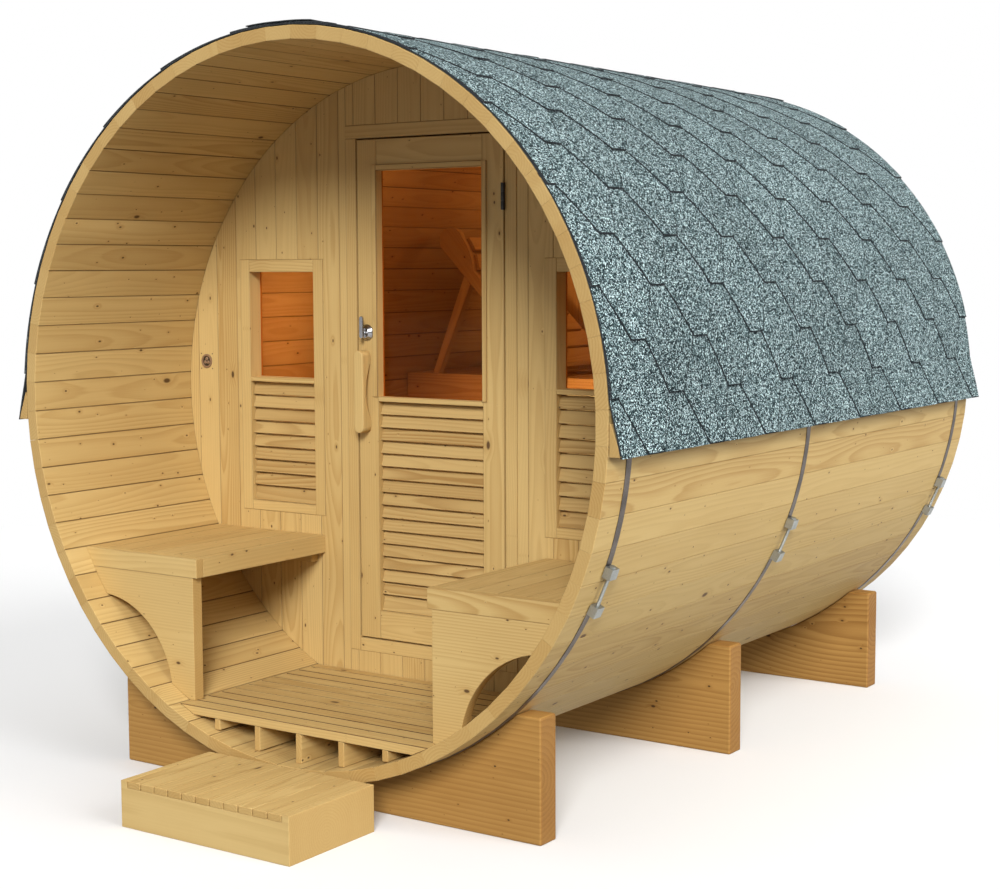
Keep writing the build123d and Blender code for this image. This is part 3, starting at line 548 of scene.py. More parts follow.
def give_grain(shape, name, level, rounded, groove_shade_share, coopered):
    """Each solid gets its own place in the log, its own tone, marks on its ends, and painted groove shade on
    its long eased edges.
    """
    rng = random.Random(name)
    grain = shape.verts.layers.float_vector.new("grain")
    board = shape.verts.layers.float.new("board")
    end = shape.faces.layers.float.new("end_grain")
    narrow = shape.faces.layers.float.new("narrow_side")
    groove_shade = shape.faces.layers.float.new("groove_shade")
    for group in islands(shape):
        middle, axes = board_axes(group, level)
        shift = Vector((rng.uniform(*LOG_ALONG), rng.uniform(*LOG_ACROSS), rng.uniform(*LOG_DEPTH)))
        tone = rng.random()
        gap_shade_tone = groove_shade_share * rng.uniform(*GROOVE_SHADE_SPREAD)
        for corner in group:
            local = Vector([axis.dot(corner.co - middle) for axis in axes])
            corner[grain] = local + shift
            corner[board] = tone
        for face in {face for corner in group for face in corner.link_faces}:
            lengthwise = abs(face.normal.dot(axes[0]))
            face[end] = 1.0 if lengthwise > END_FACING else 0.0
            face[narrow] = 1.0 if abs(face.normal.dot(axes[2])) < SIDE_FACING else 0.0
            # Painted groove shade on the eased long edges, fainter on the staves' outer faces
            outward = Vector((middle.x, 0, middle.z - BARREL_AXIS_Z)).dot(face.normal) > 0
            shown = gap_shade_tone * OUTER_GROOVE_SHADE if coopered and outward else gap_shade_tone
            face[groove_shade] = shown if face.index in rounded and lengthwise < EDGE_FACING else 0.0


def is_radial(edge):
    """Whether an edge runs straight out from the barrel's axis."""
    one, other = (Vector((corner.co.x, 0, corner.co.z - BARREL_AXIS_Z)) for corner in edge.verts)
    run = other - one
    return run.length > 0 and abs(run.normalized().dot(one.normalized())) > RADIAL_FACING


def eased_copy(node, ease, whole_ends):
    """Copy of a CAD node's solids with their sharp edges eased, and the numbers of the eased faces."""
    shape = bmesh.new()
    shape.from_mesh(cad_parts[node].data)
    bmesh.ops.remove_doubles(shape, verts=shape.verts, dist=MERGE)
    bmesh.ops.dissolve_limit(shape, angle_limit=FLAT_ANGLE, verts=shape.verts, edges=shape.edges)
    sharp = [edge for edge in shape.edges if len(edge.link_faces) == 2 and edge.calc_face_angle() > EASE_ANGLE]
    if whole_ends:
        sharp = [edge for edge in sharp if not is_radial(edge)]
    made = bmesh.ops.bevel(shape, geom=sharp, offset=ease, offset_type="OFFSET", segments=EASE_SEGMENTS,
                           profile=0.5, affect="EDGES", clamp_overlap=True)
    shape.faces.index_update()
    return shape, {face.index for face in made["faces"]}


def to_mesh(shape, name):
    """Plain mesh from a working shape."""
    mesh = bpy.data.meshes.new(name)
    shape.normal_update()
    shape.to_mesh(mesh)
    shape.free()
    return mesh


def add_shape(name, shape, nodes, material):
    """Working shape as a piece of the cabin, with its faces turned outward."""
    bmesh.ops.recalc_face_normals(shape, faces=shape.faces)
    add_piece(name, to_mesh(shape, name), "cabin", nodes, material)


def skin(shape, rows, ring=False):
    """Corners of like sections, with faces from each section to the next, and round to the first in a ring."""
    corners = [[shape.verts.new(spot) for spot in row] for row in rows]
    for row, following in zip(corners, corners[1:] + (corners[:1] if ring else [])):
        for corner in range(len(row)):
            other = (corner + 1) % len(row)
            shape.faces.new((row[corner], row[other], following[other], following[corner]))
    return corners


def dress(node, material, ease, body="cabin", groove_shade=BOARD_GROOVE_SHADE, wooden=True, level=False, whole_ends=False):
    """CAD node as a finished piece: eased edges, and for wood a grain of its own in each board."""
    shape, rounded = eased_copy(node, ease, whole_ends)
    shape.normal_update()
    if wooden:
        give_grain(shape, node, level, rounded, groove_shade, whole_ends)
    add_piece(node + "_finished", to_mesh(shape, node + "_finished"), body, [node], material)


# Geometry trees

SOCKET_KINDS = {float: "NodeSocketFloat", int: "NodeSocketInt", bpy.types.Material: "NodeSocketMaterial"}


def new_tree(name, sizes):
    """Empty geometry tree with named inputs, and the sockets that bring them in."""
    tree = bpy.data.node_groups.new(name, "GeometryNodeTree")
    tree.interface.new_socket(name="Geometry", in_out="OUTPUT", socket_type="NodeSocketGeometry")
    for label, value in sizes.items():
        tree.interface.new_socket(name=label, in_out="INPUT", socket_type=SOCKET_KINDS[type(value)])
    return tree, put(tree, "NodeGroupInput").outputs


def end_tree(tree, geometry):
    """Output of a geometry tree."""
    put(tree, "NodeGroupOutput", {0: geometry})


def grow(tree, sizes, name):
    """Plain mesh that a geometry tree makes from these sizes."""
    holder = bpy.data.objects.new(name, bpy.data.meshes.new(name))
    bpy.context.scene.collection.objects.link(holder)
    modifier = holder.modifiers.new(name, "NODES")
    modifier.node_group = tree
    for socket in tree.interface.items_tree:
        if socket.in_out == "INPUT":
            modifier[socket.identifier] = sizes[socket.name]
    bpy.context.view_layer.update()
    evaluated = holder.evaluated_get(bpy.context.evaluated_depsgraph_get())
    mesh = bpy.data.meshes.new_from_object(evaluated)
    mesh.name = name
    holder.modifiers.remove(modifier)
    bpy.data.objects.remove(holder)
    return mesh


def attribute(tree, name):
    """Number kept under a name, as a field."""
    return put(tree, "GeometryNodeInputNamedAttribute", {"Name": name}, data_type="FLOAT").outputs["Attribute"]


def store(tree, geometry, name, value, domain="POINT"):
    """Geometry with a number kept under a name."""
    sockets = {"Geometry": geometry, "Name": name, "Value": value}
    return get(tree, "GeometryNodeStoreNamedAttribute", sockets, data_type="FLOAT", domain=domain)


def place_axes(tree):
    """X, Y and Z of each point as fields."""
    place = get(tree, "GeometryNodeInputPosition")
    return put(tree, "ShaderNodeSeparateXYZ", {0: place}).outputs


def move(tree, geometry, x, y, z):
    """Geometry with each point set to a new place."""
    return get(tree, "GeometryNodeSetPosition", {"Geometry": geometry, "Position": vector(tree, x, y, z)})


def join(tree, *parts):
    """Geometries as one, in their order."""
    node = put(tree, "GeometryNodeJoinGeometry")
    for part in parts:
        tree.links.new(part, node.inputs[0])
    return node.outputs[0]


def weld(tree, geometry):
    """Geometry with meeting points joined."""
    return get(tree, "GeometryNodeMergeByDistance", {"Geometry": geometry, "Distance": WELD})


def merged(tree, geometry):
    """Geometry with meeting points joined and loose edges cleared away."""
    faces = get(tree, "GeometryNodeInputMeshEdgeNeighbors")
    sockets = {"Geometry": weld(tree, geometry), "Selection": calc(tree, "LESS_THAN", faces, 0.5)}
    return get(tree, "GeometryNodeDeleteGeometry", sockets, domain="EDGE")


def sheet(tree, flat):
    """Closed thin sheet from a flat mesh. Its upper points carry a lift of 1, its lower ones 0."""
    lower = get(tree, "GeometryNodeFlipFaces", {"Mesh": flat})
    extruded = put(tree, "GeometryNodeExtrudeMesh",
                   {"Mesh": flat, "Offset": (0.0, 0.0, 1.0), "Offset Scale": 1.0, "Individual": False})
    upper = store(tree, extruded.outputs["Mesh"], "cut_edge", extruded.outputs["Side"], "FACE")
    whole = weld(tree, join(tree, lower, upper))
    return store(tree, whole, "lift", calc(tree, "MODULO", place_axes(tree)[2], SHELF))


def crisp(tree, geometry):
    """Smooth faces with hard edges where they turn sharply."""
    smooth = get(tree, "GeometryNodeSetShadeSmooth", {"Geometry": geometry, "Shade Smooth": True})
    angle = get(tree, "GeometryNodeInputMeshEdgeAngle")
    hard = calc(tree, "GREATER_THAN", angle, HARD_ANGLE)
    sockets = {"Geometry": smooth, "Selection": hard, "Shade Smooth": False}
    return get(tree, "GeometryNodeSetShadeSmooth", sockets, domain="EDGE")


def on_points(tree, points, instance, seed):
    """Instances on points, each with its own tone, as one plain mesh."""
    placed = get(tree, "GeometryNodeInstanceOnPoints", {"Points": points, "Instance": instance})
    tone = put(tree, "FunctionNodeRandomValue", {"Seed": seed}, data_type="FLOAT").outputs["Value"]
    toned = store(tree, placed, "board", tone, "INSTANCE")
    return get(tree, "GeometryNodeRealizeInstances", {"Geometry": toned})


def two_materials(tree, geometry, face, edge):
    """Face material all over, and the edge material on the cut edges."""
    faced = get(tree, "GeometryNodeSetMaterial", {"Geometry": geometry, "Material": face})
    cut = attribute(tree, "cut_edge")
    return get(tree, "GeometryNodeSetMaterial", {"Geometry": faced, "Selection": cut, "Material": edge})


def shingle_tree(sizes):
    """Courses of six-sided shingle tabs, laid flat, cut at both ends and then wrapped round the barrel."""
    tree, size = new_tree("shingle courses", sizes)
    half_pitch = times(tree, size["Tab pitch"], 0.5)
    shoulder = minus(tree, half_pitch, times(tree, size["Tip width"], 0.5))

    body = get(tree, "GeometryNodeMeshGrid", {"Size X": size["Tab pitch"], "Size Y": size["Exposure"],
                                              "Vertices X": 4, "Vertices Y": 5})
    x, y, z = place_axes(tree)
    inner = calc(tree, "LESS_THAN", calc(tree, "ABSOLUTE", x), times(tree, half_pitch, 0.7))
    at_shoulder = times(tree, calc(tree, "SIGN", x), shoulder)
    gap = minus(tree, at_shoulder, x)
    body = move(tree, body, plus(tree, x, times(tree, gap, inner)),
                plus(tree, y, times(tree, size["Exposure"], 1.5)), z)
    from_middle = calc(tree, "DIVIDE", place_axes(tree)[0], shoulder)
    body = store(tree, body, "tab_side", held(tree, from_middle, -1.0, 1.0))

    tab = get(tree, "GeometryNodeMeshGrid", {"Size X": 1.0, "Size Y": size["Exposure"],
                                             "Vertices X": 2, "Vertices Y": 5})
    x, y, z = place_axes(tree)
    rise = plus(tree, calc(tree, "DIVIDE", y, size["Exposure"]), 0.5)
    spread = minus(tree, times(tree, shoulder, 2.0), size["Tip width"])
    width = plus(tree, size["Tip width"], times(tree, spread, rise))
    tab = store(tree, tab, "tab_side", times(tree, x, 2.0))
    tab = move(tree, tab, times(tree, x, width),
               plus(tree, y, times(tree, size["Exposure"], 0.5)), z)

    flat = store(tree, weld(tree, join(tree, body, tab)), "up_tab", place_axes(tree)[1])

    count = times(tree, size["Courses"], size["Tabs"])
    number = get(tree, "GeometryNodeInputIndex")
    course = calc(tree, "FLOOR", calc(tree, "DIVIDE", plus(tree, number, 0.5), size["Tabs"]))
    step = minus(tree, number, times(tree, course, size["Tabs"]))
    stagger = times(tree, calc(tree, "MODULO", course, 2.0), half_pitch)
    first_y = plus(tree, size["Front"], stagger)
    at_y = plus(tree, first_y, times(tree, step, size["Tab pitch"]))
    first_arc = minus(tree, size["Eave arc"], size["Exposure"])
    at_arc = plus(tree, first_arc, times(tree, course, size["Exposure"]))
    spot = vector(tree, at_y, at_arc, times(tree, course, SHELF))
    points = get(tree, "GeometryNodePoints", {"Count": count, "Position": spot})
    laid = on_points(tree, points, flat, size["Seed"])

    x, y, z = place_axes(tree)
    across = held(tree, x, size["Front"], size["Rear"])
    upward = held(tree, y, size["Eave arc"], size["Ridge arc"])
    laid = merged(tree, move(tree, laid, across, upward, z))
    laid = sheet(tree, laid)

    x, y, z = place_axes(tree)
    laps = calc(tree, "DIVIDE", attribute(tree, "up_tab"), size["Exposure"])
    outer = times(tree, size["Sheet"], minus(tree, 2.0, laps))
    under = calc(tree, "MAXIMUM", minus(tree, outer, size["Sheet"]), LEAST_HEIGHT)
    curl = times(tree, ramp(tree, laps, 0.6, 0.0), calc(tree, "POWER", attribute(tree, "board"), 3.0))
    curl = times(tree, curl, ramp(tree, y, 0.0, size["Exposure"], 0.0, size["Curl"]))
    outer = plus(tree, calc(tree, "MAXIMUM", outer, LEAST_HEIGHT * 2), curl)
    thick = minus(tree, outer, plus(tree, under, curl))
    height = plus(tree, plus(tree, under, curl), times(tree, thick, attribute(tree, "lift")))
    flare = calc(tree, "POWER", ramp(tree, y, size["Flare top arc"], size["Eave arc"]), FLARE_POWER)
    radius = plus(tree, size["Bed radius"], times(tree, flare, size["Flare"]))
    wrapped = wrap(tree, laid, plus(tree, radius, height), x, y, size)
    end_tree(tree, two_materials(tree, crisp(tree, wrapped), size["Face"], size["Edge"]))
    return tree


def wrap(tree, geometry, radius, along, arc, size):
    """Flat lay bent round the barrel's axis, on the side that is asked for."""
    angle = calc(tree, "DIVIDE", arc, size["Barrel radius"])
    out = times(tree, times(tree, radius, calc(tree, "COSINE", angle)), size["Side"])
    up = plus(tree, times(tree, radius, calc(tree, "SINE", angle)), size["Axis height"])
    bent = move(tree, geometry, out, along, up)
    mirrored = calc(tree, "GREATER_THAN", size["Side"], 0.0)
    return get(tree, "GeometryNodeFlipFaces", {"Mesh": bent, "Selection": mirrored})


def ridge_tree(sizes):
    """Short shingle caps that lap along the ridge, bent over the top of the barrel."""
    tree, size = new_tree("ridge caps", sizes)
    cap = get(tree, "GeometryNodeMeshGrid", {"Size X": size["Cap length"], "Size Y": size["Cap width"],
                                             "Vertices X": 3, "Vertices Y": 9})
    x, y, z = place_axes(tree)
    cap = store(tree, cap, "back_cap", plus(tree, calc(tree, "DIVIDE", x, size["Cap length"]), 0.5))
    cap = store(tree, cap, "up_tab", plus(tree, x, times(tree, size["Cap length"], 0.5)))
    cap = store(tree, cap, "off_ridge", calc(tree, "DIVIDE", calc(tree, "ABSOLUTE", y), size["Cap width"]))
    number = get(tree, "GeometryNodeInputIndex")
    middle = plus(tree, size["Front"], times(tree, size["Cap length"], 0.5))
    at_y = plus(tree, middle, times(tree, number, size["Cap showing"]))
    spot = vector(tree, at_y, size["Ridge arc"], times(tree, number, SHELF))
    points = get(tree, "GeometryNodePoints", {"Count": size["Caps"], "Position": spot})
    laid = on_points(tree, points, cap, size["Seed"])
    x, y, z = place_axes(tree)
    laid = merged(tree, move(tree, laid, calc(tree, "MINIMUM", x, size["Rear"]), y, z))
    laid = sheet(tree, laid)
    x, y, z = place_axes(tree)
    bed = ramp(tree, attribute(tree, "off_ridge"), 0.0, 0.5, size["Ridge height"], size["Lap height"])
    tilt = times(tree, minus(tree, 1.0, attribute(tree, "back_cap")), size["Cap tilt"])
    low = plus(tree, size["Bed radius"], plus(tree, bed, tilt))
    radius = plus(tree, low, times(tree, attribute(tree, "lift"), size["Sheet"]))
    wrapped = wrap(tree, laid, radius, x, y, size)
    end_tree(tree, two_materials(tree, crisp(tree, wrapped), size["Face"], size["Edge"]))
    return tree


def tie_tree(sizes):
    """Threads on the rods across the gaps in the straps, and a six-sided nut at each rod's end."""
    tree, size = new_tree("strap ties", sizes)
    turns = calc(tree, "DIVIDE", size["Thread length"], size["Thread pitch"])
    spiral = get(tree, "GeometryNodeCurveSpiral",
                 {"Resolution": 10, "Rotations": turns, "Start Radius": size["Rod radius"],
                  "End Radius": size["Rod radius"], "Height": size["Thread length"]})
    ring = get(tree, "GeometryNodeCurvePrimitiveCircle", {"Resolution": 4, "Radius": size["Thread depth"]})
    sockets = {"Curve": spiral, "Profile Curve": ring, "Fill Caps": True}
    thread = get(tree, "GeometryNodeCurveToMesh", sockets)
    sunk = vector(tree, 0.0, 0.0, times(tree, size["Thread length"], -0.5))
    parts = [get(tree, "GeometryNodeTransform", {"Geometry": thread, "Translation": sunk})]
    reach = times(tree, plus(tree, size["Rod length"], size["Nut height"]), 0.5)
    for end in (-1.0, 1.0):
        nut = get(tree, "GeometryNodeMeshCylinder", {"Vertices": 6, "Radius": size["Nut radius"],
                                                     "Depth": size["Nut height"]})
        spot = vector(tree, 0.0, 0.0, times(tree, reach, end))
        parts.append(get(tree, "GeometryNodeTransform", {"Geometry": nut, "Translation": spot}))

    number = get(tree, "GeometryNodeInputIndex")
    at_y = size["Front place"]
    for place, label in ((1, "Middle place"), (2, "Rear place")):
        further = minus(tree, size[label], at_y)
        passed = calc(tree, "GREATER_THAN", number, place - 0.5)
        at_y = plus(tree, at_y, times(tree, further, passed))
    out = times(tree, size["Tie radius"], calc(tree, "COSINE", size["Tie angle"]))
    up = plus(tree, times(tree, size["Tie radius"], calc(tree, "SINE", size["Tie angle"])),
              size["Axis height"])
    points = get(tree, "GeometryNodePoints", {"Count": 3, "Position": vector(tree, out, at_y, up)})
    lean = vector(tree, 0.0, times(tree, size["Tie angle"], -1.0), 0.0)
    placed = get(tree, "GeometryNodeInstanceOnPoints",
                 {"Points": points, "Instance": join(tree, *parts), "Rotation": lean})
    whole = get(tree, "GeometryNodeRealizeInstances", {"Geometry": placed})
    end_tree(tree, get(tree, "GeometryNodeSetMaterial", {"Geometry": whole, "Material": size["Metal"]}))
    return tree


# Roof

ROOF = {"Barrel radius": BARREL_RADIUS, "Axis height": BARREL_AXIS_Z, "Bed radius": SHINGLE_BED_RADIUS,
        "Front": FRONT_Y, "Rear": REAR_Y, "Ridge arc": BARREL_RADIUS * math.pi / 2, "Sheet": SHINGLE_SHEET,
        "Face": GRANULES, "Edge": BITUMEN}


def roof():
    """Shingle courses on both sides and the caps over the ridge."""
    tabs = math.ceil((REAR_Y - FRONT_Y) / SHINGLE_PITCH) + 1
    sizes = dict(ROOF, **{"Tab pitch": SHINGLE_PITCH, "Tip width": SHINGLE_TIP, "Exposure": SHINGLE_EXPOSURE,
                          "Courses": SHINGLE_COURSES + 1, "Tabs": tabs, "Eave arc": EAVE_ARC,
                          "Flare": EAVE_FLARE, "Flare top arc": FLARE_TOP_ARC, "Curl": SHINGLE_CURL,
                          "Side": 1.0, "Seed": RIGHT_SEED})
    tree = shingle_tree(sizes)
    for name, side, seed in (("shingles_right", 1.0, RIGHT_SEED), ("shingles_left", -1.0, LEFT_SEED)):
        mesh = grow(tree, dict(sizes, Side=side, Seed=seed), name + "_tabs")
        add_piece(name + "_tabs", mesh, "cabin", [name])
    caps = math.ceil((REAR_Y - FRONT_Y) / RIDGE_CAP_SHOWING)
    sizes = dict(ROOF, **{"Cap length": RIDGE_CAP_LENGTH, "Cap width": RIDGE_CAP_WIDTH,
                          "Cap showing": RIDGE_CAP_SHOWING, "Cap tilt": RIDGE_CAP_TILT,
                          "Ridge height": RIDGE_HEIGHT, "Lap height": RIDGE_LAP_HEIGHT,
                          "Caps": caps, "Side": 1.0, "Seed": RIDGE_SEED})
    mesh = grow(ridge_tree(sizes), sizes, "ridge_caps")
    add_piece("ridge_caps", mesh, "cabin", ["shingle_ridge"])


def swept(shape, rows):
    """Closed solid through a row of like sections."""
    corners = skin(shape, rows)
    shape.faces.new(reversed(corners[0]))
    shape.faces.new(corners[-1])


def round_axis(radius, along, angle):
    """Point about the barrel's axis."""
    return (radius * math.cos(angle), along, BARREL_AXIS_Z + radius * math.sin(angle))


def underlay():
    """Felt under the shingles, from eave to eave, whose cut edge shows along both rims."""
    shape = bmesh.new()
    low = EAVE_ARC / BARREL_RADIUS
    rows = []
    for step in range(UNDERLAY_STEPS + 1):
        angle = low + (math.pi - 2 * low) * step / UNDERLAY_STEPS
        arc = min(angle, math.pi - angle) * BARREL_RADIUS
        share = min(max((FLARE_TOP_ARC - arc) / (FLARE_TOP_ARC - EAVE_ARC), 0.0), 1.0)
        inner = UNDERLAY_RADIUS + EAVE_FLARE * share ** FLARE_POWER
        outer = inner + UNDERLAY_THICKNESS
        rows.append([round_axis(inner, FRONT_Y, angle), round_axis(inner, REAR_Y, angle),
                     round_axis(outer, REAR_Y, angle), round_axis(outer, FRONT_Y, angle)])
    swept(shape, rows)
    add_shape("roof_underlay", shape, [], BITUMEN)


# Straps and tongues

def strap_bands():
    """Three flat bands round the barrel, open between the tensioner blocks, and ties across the gaps."""
    shape = bmesh.new()
    start = math.radians(STRAP_ENDS[0])
    turn = 2 * math.pi - math.radians(STRAP_ENDS[0] - STRAP_ENDS[1])
    half = STRAP_WIDTH / 2
    section = ((0, -half), (0, half), (STRAP_THICKNESS, half), (STRAP_THICKNESS, -half))
    for place in STRAP_PLACES:
        swept(shape, [[round_axis(STRAP_RADIUS + out, place + along, start + turn * step / STRAP_STEPS)
                       for out, along in section] for step in range(STRAP_STEPS + 1)])
    add_shape("strap_bands", shape, ["straps"], STRAP_STEEL)

    front, middle, rear = STRAP_PLACES
    sizes = {"Tie radius": TIE_RADIUS, "Tie angle": math.radians(TIE_ANGLE), "Axis height": BARREL_AXIS_Z,
             "Rod radius": TIE_ROD_RADIUS, "Rod length": TIE_ROD_LENGTH, "Thread length": TIE_THREAD_LENGTH,
             "Thread pitch": TIE_THREAD_PITCH, "Thread depth": TIE_THREAD_DEPTH, "Nut radius": TIE_NUT_RADIUS,
             "Nut height": TIE_NUT_HEIGHT, "Front place": front, "Middle place": middle, "Rear place": rear,
             "Metal": ZINC}
    add_piece("strap_ties", grow(tie_tree(sizes), sizes, "strap_ties"), "cabin", [])


def stave_tongues():
    """Tongues that close the joints between the staves, as one round sheet half way through them."""
    shape = bmesh.new()
    section = ((0, FRONT_Y + TONGUE_INSET), (0, REAR_Y - TONGUE_INSET),
               (TONGUE_THICKNESS, REAR_Y - TONGUE_INSET), (TONGUE_THICKNESS, FRONT_Y + TONGUE_INSET))
    skin(shape, [[round_axis(TONGUE_RADIUS + out, along, 2 * math.pi * step / TONGUE_STEPS)
                  for out, along in section] for step in range(TONGUE_STEPS)], ring=True)
    add_shape("stave_tongues", shape, [], SHADED_TONGUE_PINE)


# Woodwork

STAVE_RUNS = ("bottom", "lower_right", "right", "upper_right", "top", "upper_left", "left", "lower_left")
WALLS = ("front_wall_left", "front_wall_right", "front_wall_over_door", "front_wall_under_door", "rear_wall")
FLOORS = ("porch_floor", "cabin_floor")
CABIN_BOARDS = ("door_casing", "door_sill", "window_frames", "bench_seats", "bench_rails", "bench_ledgers",
                "floor_joists", "step_frame", "step_slats",
                "inner_bench_rails", "inner_bench_slats", "recliner_rails", "recliner_slats", "recliner_props")
CABIN_SLIM = ("door_stops", "eave_battens", "window_louvres")
DOOR_BOARDS = ("door_stiles", "door_rails")
DOOR_SLIM = ("door_beads", "door_louvres")


def woodwork():
    """All boards of the cabin and the door."""
    for run in STAVE_RUNS:
        dress("staves_" + run, PALE_PINE, STAVE_EASE, groove_shade=STAVE_GROOVE_SHADE, whole_ends=True)
    for node in WALLS:
        dress(node, PALE_PINE, BOARD_EASE, groove_shade=WALL_GROOVE_SHADE)
    for node in FLOORS:
        dress(node, PALE_PINE, BOARD_EASE, groove_shade=FLOOR_GROOVE_SHADE)
    for node in CABIN_BOARDS:
        dress(node, PALE_PINE, BOARD_EASE)
    dress("bench_panels", PALE_PINE, BOARD_EASE, level=True)
    for node in CABIN_SLIM:
        dress(node, SHADED_LOUVRE_PINE if node == "window_louvres" else PALE_PINE, SLAT_EASE, groove_shade=LOUVRE_GROOVE_SHADE)
    for node in DOOR_BOARDS:
        dress(node, PALE_PINE, BOARD_EASE, "door")
    for node in DOOR_SLIM:
        dress(node, SHADED_LOUVRE_PINE if node == "door_louvres" else PALE_PINE, SLAT_EASE, "door", groove_shade=LOUVRE_GROOVE_SHADE)
    dress("door_handle", PALE_PINE, HANDLE_EASE, "door", groove_shade=0.0)
    for place in ("front", "middle", "rear"):
        dress("cradle_" + place, CRADLE_PINE, CRADLE_EASE, groove_shade=0.0)


# Cable port and fittings

def off_wall(place, reach, angle, out=0.0):
    """Point at a reach about a place on the front wall, and out from the wall."""
    return (place[0] + reach * math.cos(angle), place[1] - out, place[2] + reach * math.sin(angle))


def turned(shape, profile, place, sides):
    """Round solid about a line along Y, from pairs of radius and height out from the wall."""
    rows = []
    for step in range(sides):
        angle = 2 * math.pi * step / sides
        rows.append([shape.verts.new(off_wall(place, radius, angle, out)) for radius, out in profile])
    for row, following in zip(rows, rows[1:] + rows[:1]):
        for corner in range(len(profile) - 1):
            shape.faces.new((row[corner], row[corner + 1], following[corner + 1], following[corner]))
    for end in (0, -1):
        shape.faces.new([row[end] for row in rows])


def wall_port():
    """Round cable port on the front wall: a collar, its dark back, three plugs in it and four pins round it."""
    shape = bmesh.new()
    collar = ((PORT_HOLE_RADIUS, 0.0), (PORT_RADIUS, 0.0), (PORT_RADIUS, PORT_LIP),
              (PORT_RADIUS - PORT_LIP, PORT_DEPTH), (PORT_HOLE_RADIUS + PORT_LIP, PORT_DEPTH),
              (PORT_HOLE_RADIUS, PORT_LIP))
    skin(shape, [[off_wall(PORT_PLACE, radius, 2 * math.pi * step / PORT_SIDES, out) for radius, out in collar]
                 for step in range(PORT_SIDES)], ring=True)
    add_shape("port_collar", shape, [], PORT_COLLAR)

    shape = bmesh.new()
    low, high = -PORT_LIP, PORT_LIP * 0.3
    turned(shape, ((PORT_HOLE_RADIUS, low), (PORT_HOLE_RADIUS, high)), PORT_PLACE, PORT_SIDES)
    pin = ((PORT_PIN_RADIUS, low), (PORT_PIN_RADIUS, high), (PORT_PIN_RADIUS * 0.5, PORT_LIP * 0.6))
    for step in range(4):
        spot = off_wall(PORT_PLACE, PORT_PIN_REACH, math.radians(45 + 90 * step))
        turned(shape, pin, spot, PORT_PIN_SIDES)
    add_shape("port_back_and_pins", shape, [], PORT_DARK)

    shape = bmesh.new()
    plug_profile = ((PORT_PLUG_RADIUS, 0.0), (PORT_PLUG_RADIUS, PORT_LIP), (PORT_PLUG_RADIUS * 0.7, PORT_DEPTH))
    for step in range(3):
        spot = off_wall(PORT_PLACE, PORT_PLUG_REACH, math.radians(90 + 120 * step))
        turned(shape, plug_profile, spot, PORT_PLUG_SIDES)
    add_shape("port_plugs", shape, [], PORT_COLLAR)


def fittings():
    """Metal fittings and panes."""
    dress("strap_tensioners", ZINC, FITTING_EASE, wooden=False)
    dress("casing_hinge_leaves", BLACK_IRON, LEAF_EASE, wooden=False)
    dress("door_hinge_leaves", BLACK_IRON, LEAF_EASE, "door", wooden=False)
    dress("door_latch", BRIGHT, LATCH_EASE, "door", wooden=False)
    for node in ("window_glass", "door_glass"):
        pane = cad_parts[node]
        pane.data.materials.clear()
        pane.data.materials.append(BRONZE_PANE)


# Studio

def hang_lamp(glow, spot, power):
    """Warm lamp inside the cabin that lights it without being seen itself."""
    glow.energy = power
    glow.color = LAMP_COLOUR
    bulb = bpy.data.objects.new(glow.name, glow)
    bulb.location = spot
    bulb.visible_camera = bulb.visible_transmission = bulb.visible_glossy = False
    bpy.context.scene.collection.objects.link(bulb)
    return bulb


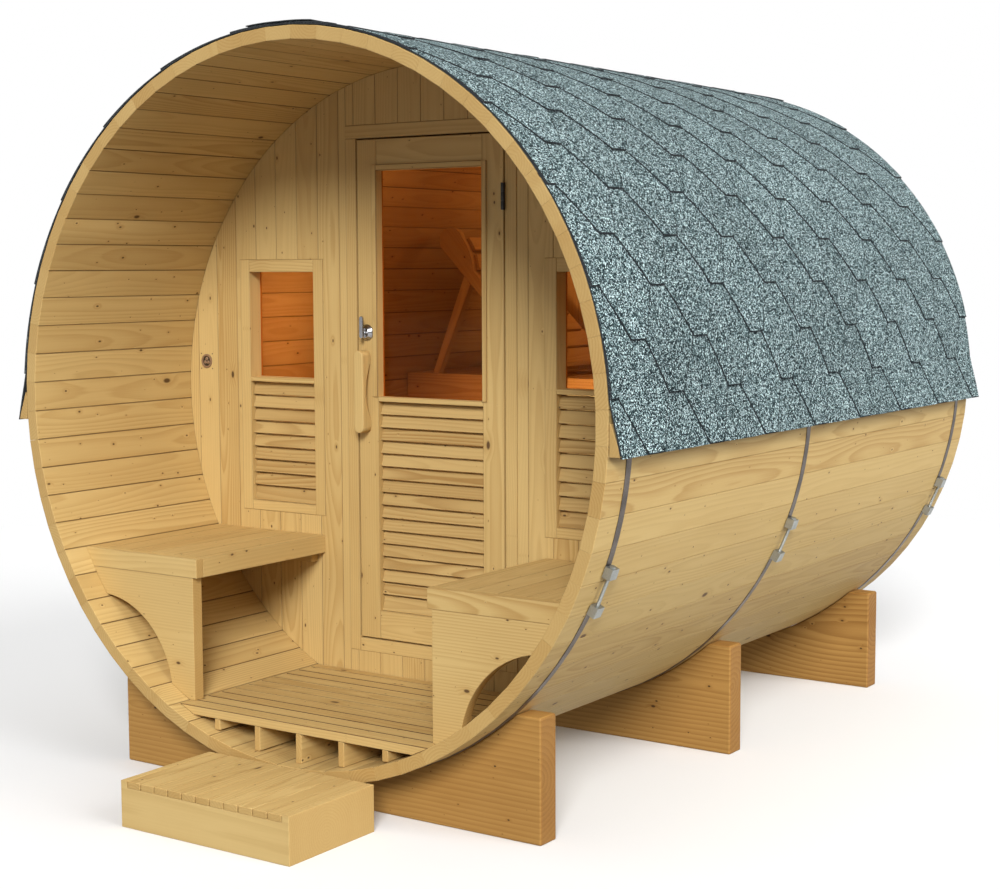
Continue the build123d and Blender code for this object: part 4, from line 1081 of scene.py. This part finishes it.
def studio():
    """Pale floor, white sky, soft lights, lamps in the cabin, and the camera."""
    mesh = bpy.data.meshes.new("studio_floor")
    far = FLOOR_REACH
    mesh.from_pydata([(-far, -far, 0), (far, -far, 0), (far, far, 0), (-far, far, 0)], [], [(0, 1, 2, 3)])
    mesh.materials.append(studio_floor())
    floor = bpy.data.objects.new("studio_floor", mesh)
    bpy.context.scene.collection.objects.link(floor)
    floor.visible_diffuse = False

    world = bpy.data.worlds.new("studio_sky")
    bpy.context.scene.world = world
    world.use_nodes = True
    tree = world.node_tree
    backdrop = get(tree, "ShaderNodeBackground", {"Color": (1, 1, 1, 1), "Strength": 1.0})
    sky = get(tree, "ShaderNodeBackground", {"Color": (1, 1, 1, 1), "Strength": SKY_STRENGTH})
    seen = put(tree, "ShaderNodeLightPath").outputs["Is Camera Ray"]
    mixed = get(tree, "ShaderNodeMixShader", {0: seen, 1: sky, 2: backdrop})
    tree.links.new(mixed, tree.nodes["World Output"].inputs["Surface"])

    for name, strength, spread, side in (("key_light", KEY_STRENGTH, KEY_SPREAD, KEY_FROM),
                                         ("fill_light", FILL_STRENGTH, FILL_SPREAD, FILL_FROM),
                                         ("top_light", TOP_STRENGTH, TOP_SPREAD, TOP_FROM)):
        soft = bpy.data.lights.new(name, "SUN")
        soft.energy = strength
        soft.angle = spread
        lamp = bpy.data.objects.new(name, soft)
        lamp.rotation_euler = Vector(side).to_track_quat("Z", "Y").to_euler()
        bpy.context.scene.collection.objects.link(lamp)

    for spot, power in LAMPS:
        glow = bpy.data.lights.new("cabin_lamp", "POINT")
        glow.shadow_soft_size = LAMP_SIZE
        hang_lamp(glow, spot, power)
    for spot, aim, power in WASHES:
        glow = bpy.data.lights.new("cabin_wash", "AREA")
        glow.size = WASH_SIZE
        glow.spread = WASH_SPREAD
        hang_lamp(glow, spot, power).rotation_euler = Vector(aim).to_track_quat("-Z", "Y").to_euler()

    lens = bpy.data.cameras.new("photo_camera")
    lens.sensor_width = 36.0
    lens.sensor_fit = "HORIZONTAL"
    lens.lens = CAMERA_LENS
    camera = bpy.data.objects.new("photo_camera", lens)
    level = math.cos(CAMERA_PITCH)
    ahead = Vector((math.sin(CAMERA_YAW) * level, math.cos(CAMERA_YAW) * level, math.sin(CAMERA_PITCH)))
    right = Vector((math.cos(CAMERA_YAW), -math.sin(CAMERA_YAW), 0))
    up = right.cross(ahead)
    facing = Matrix((right, up, -ahead)).transposed() @ Matrix.Rotation(CAMERA_ROLL, 3, "Z")
    camera.matrix_world = Matrix.Translation(CAMERA_PLACE) @ facing.to_4x4()
    bpy.context.scene.collection.objects.link(camera)
    bpy.context.scene.camera = camera
    bpy.context.scene.view_settings.view_transform = "Standard"


roof()
underlay()
strap_bands()
stave_tongues()
woodwork()
wall_port()
fittings()
studio()
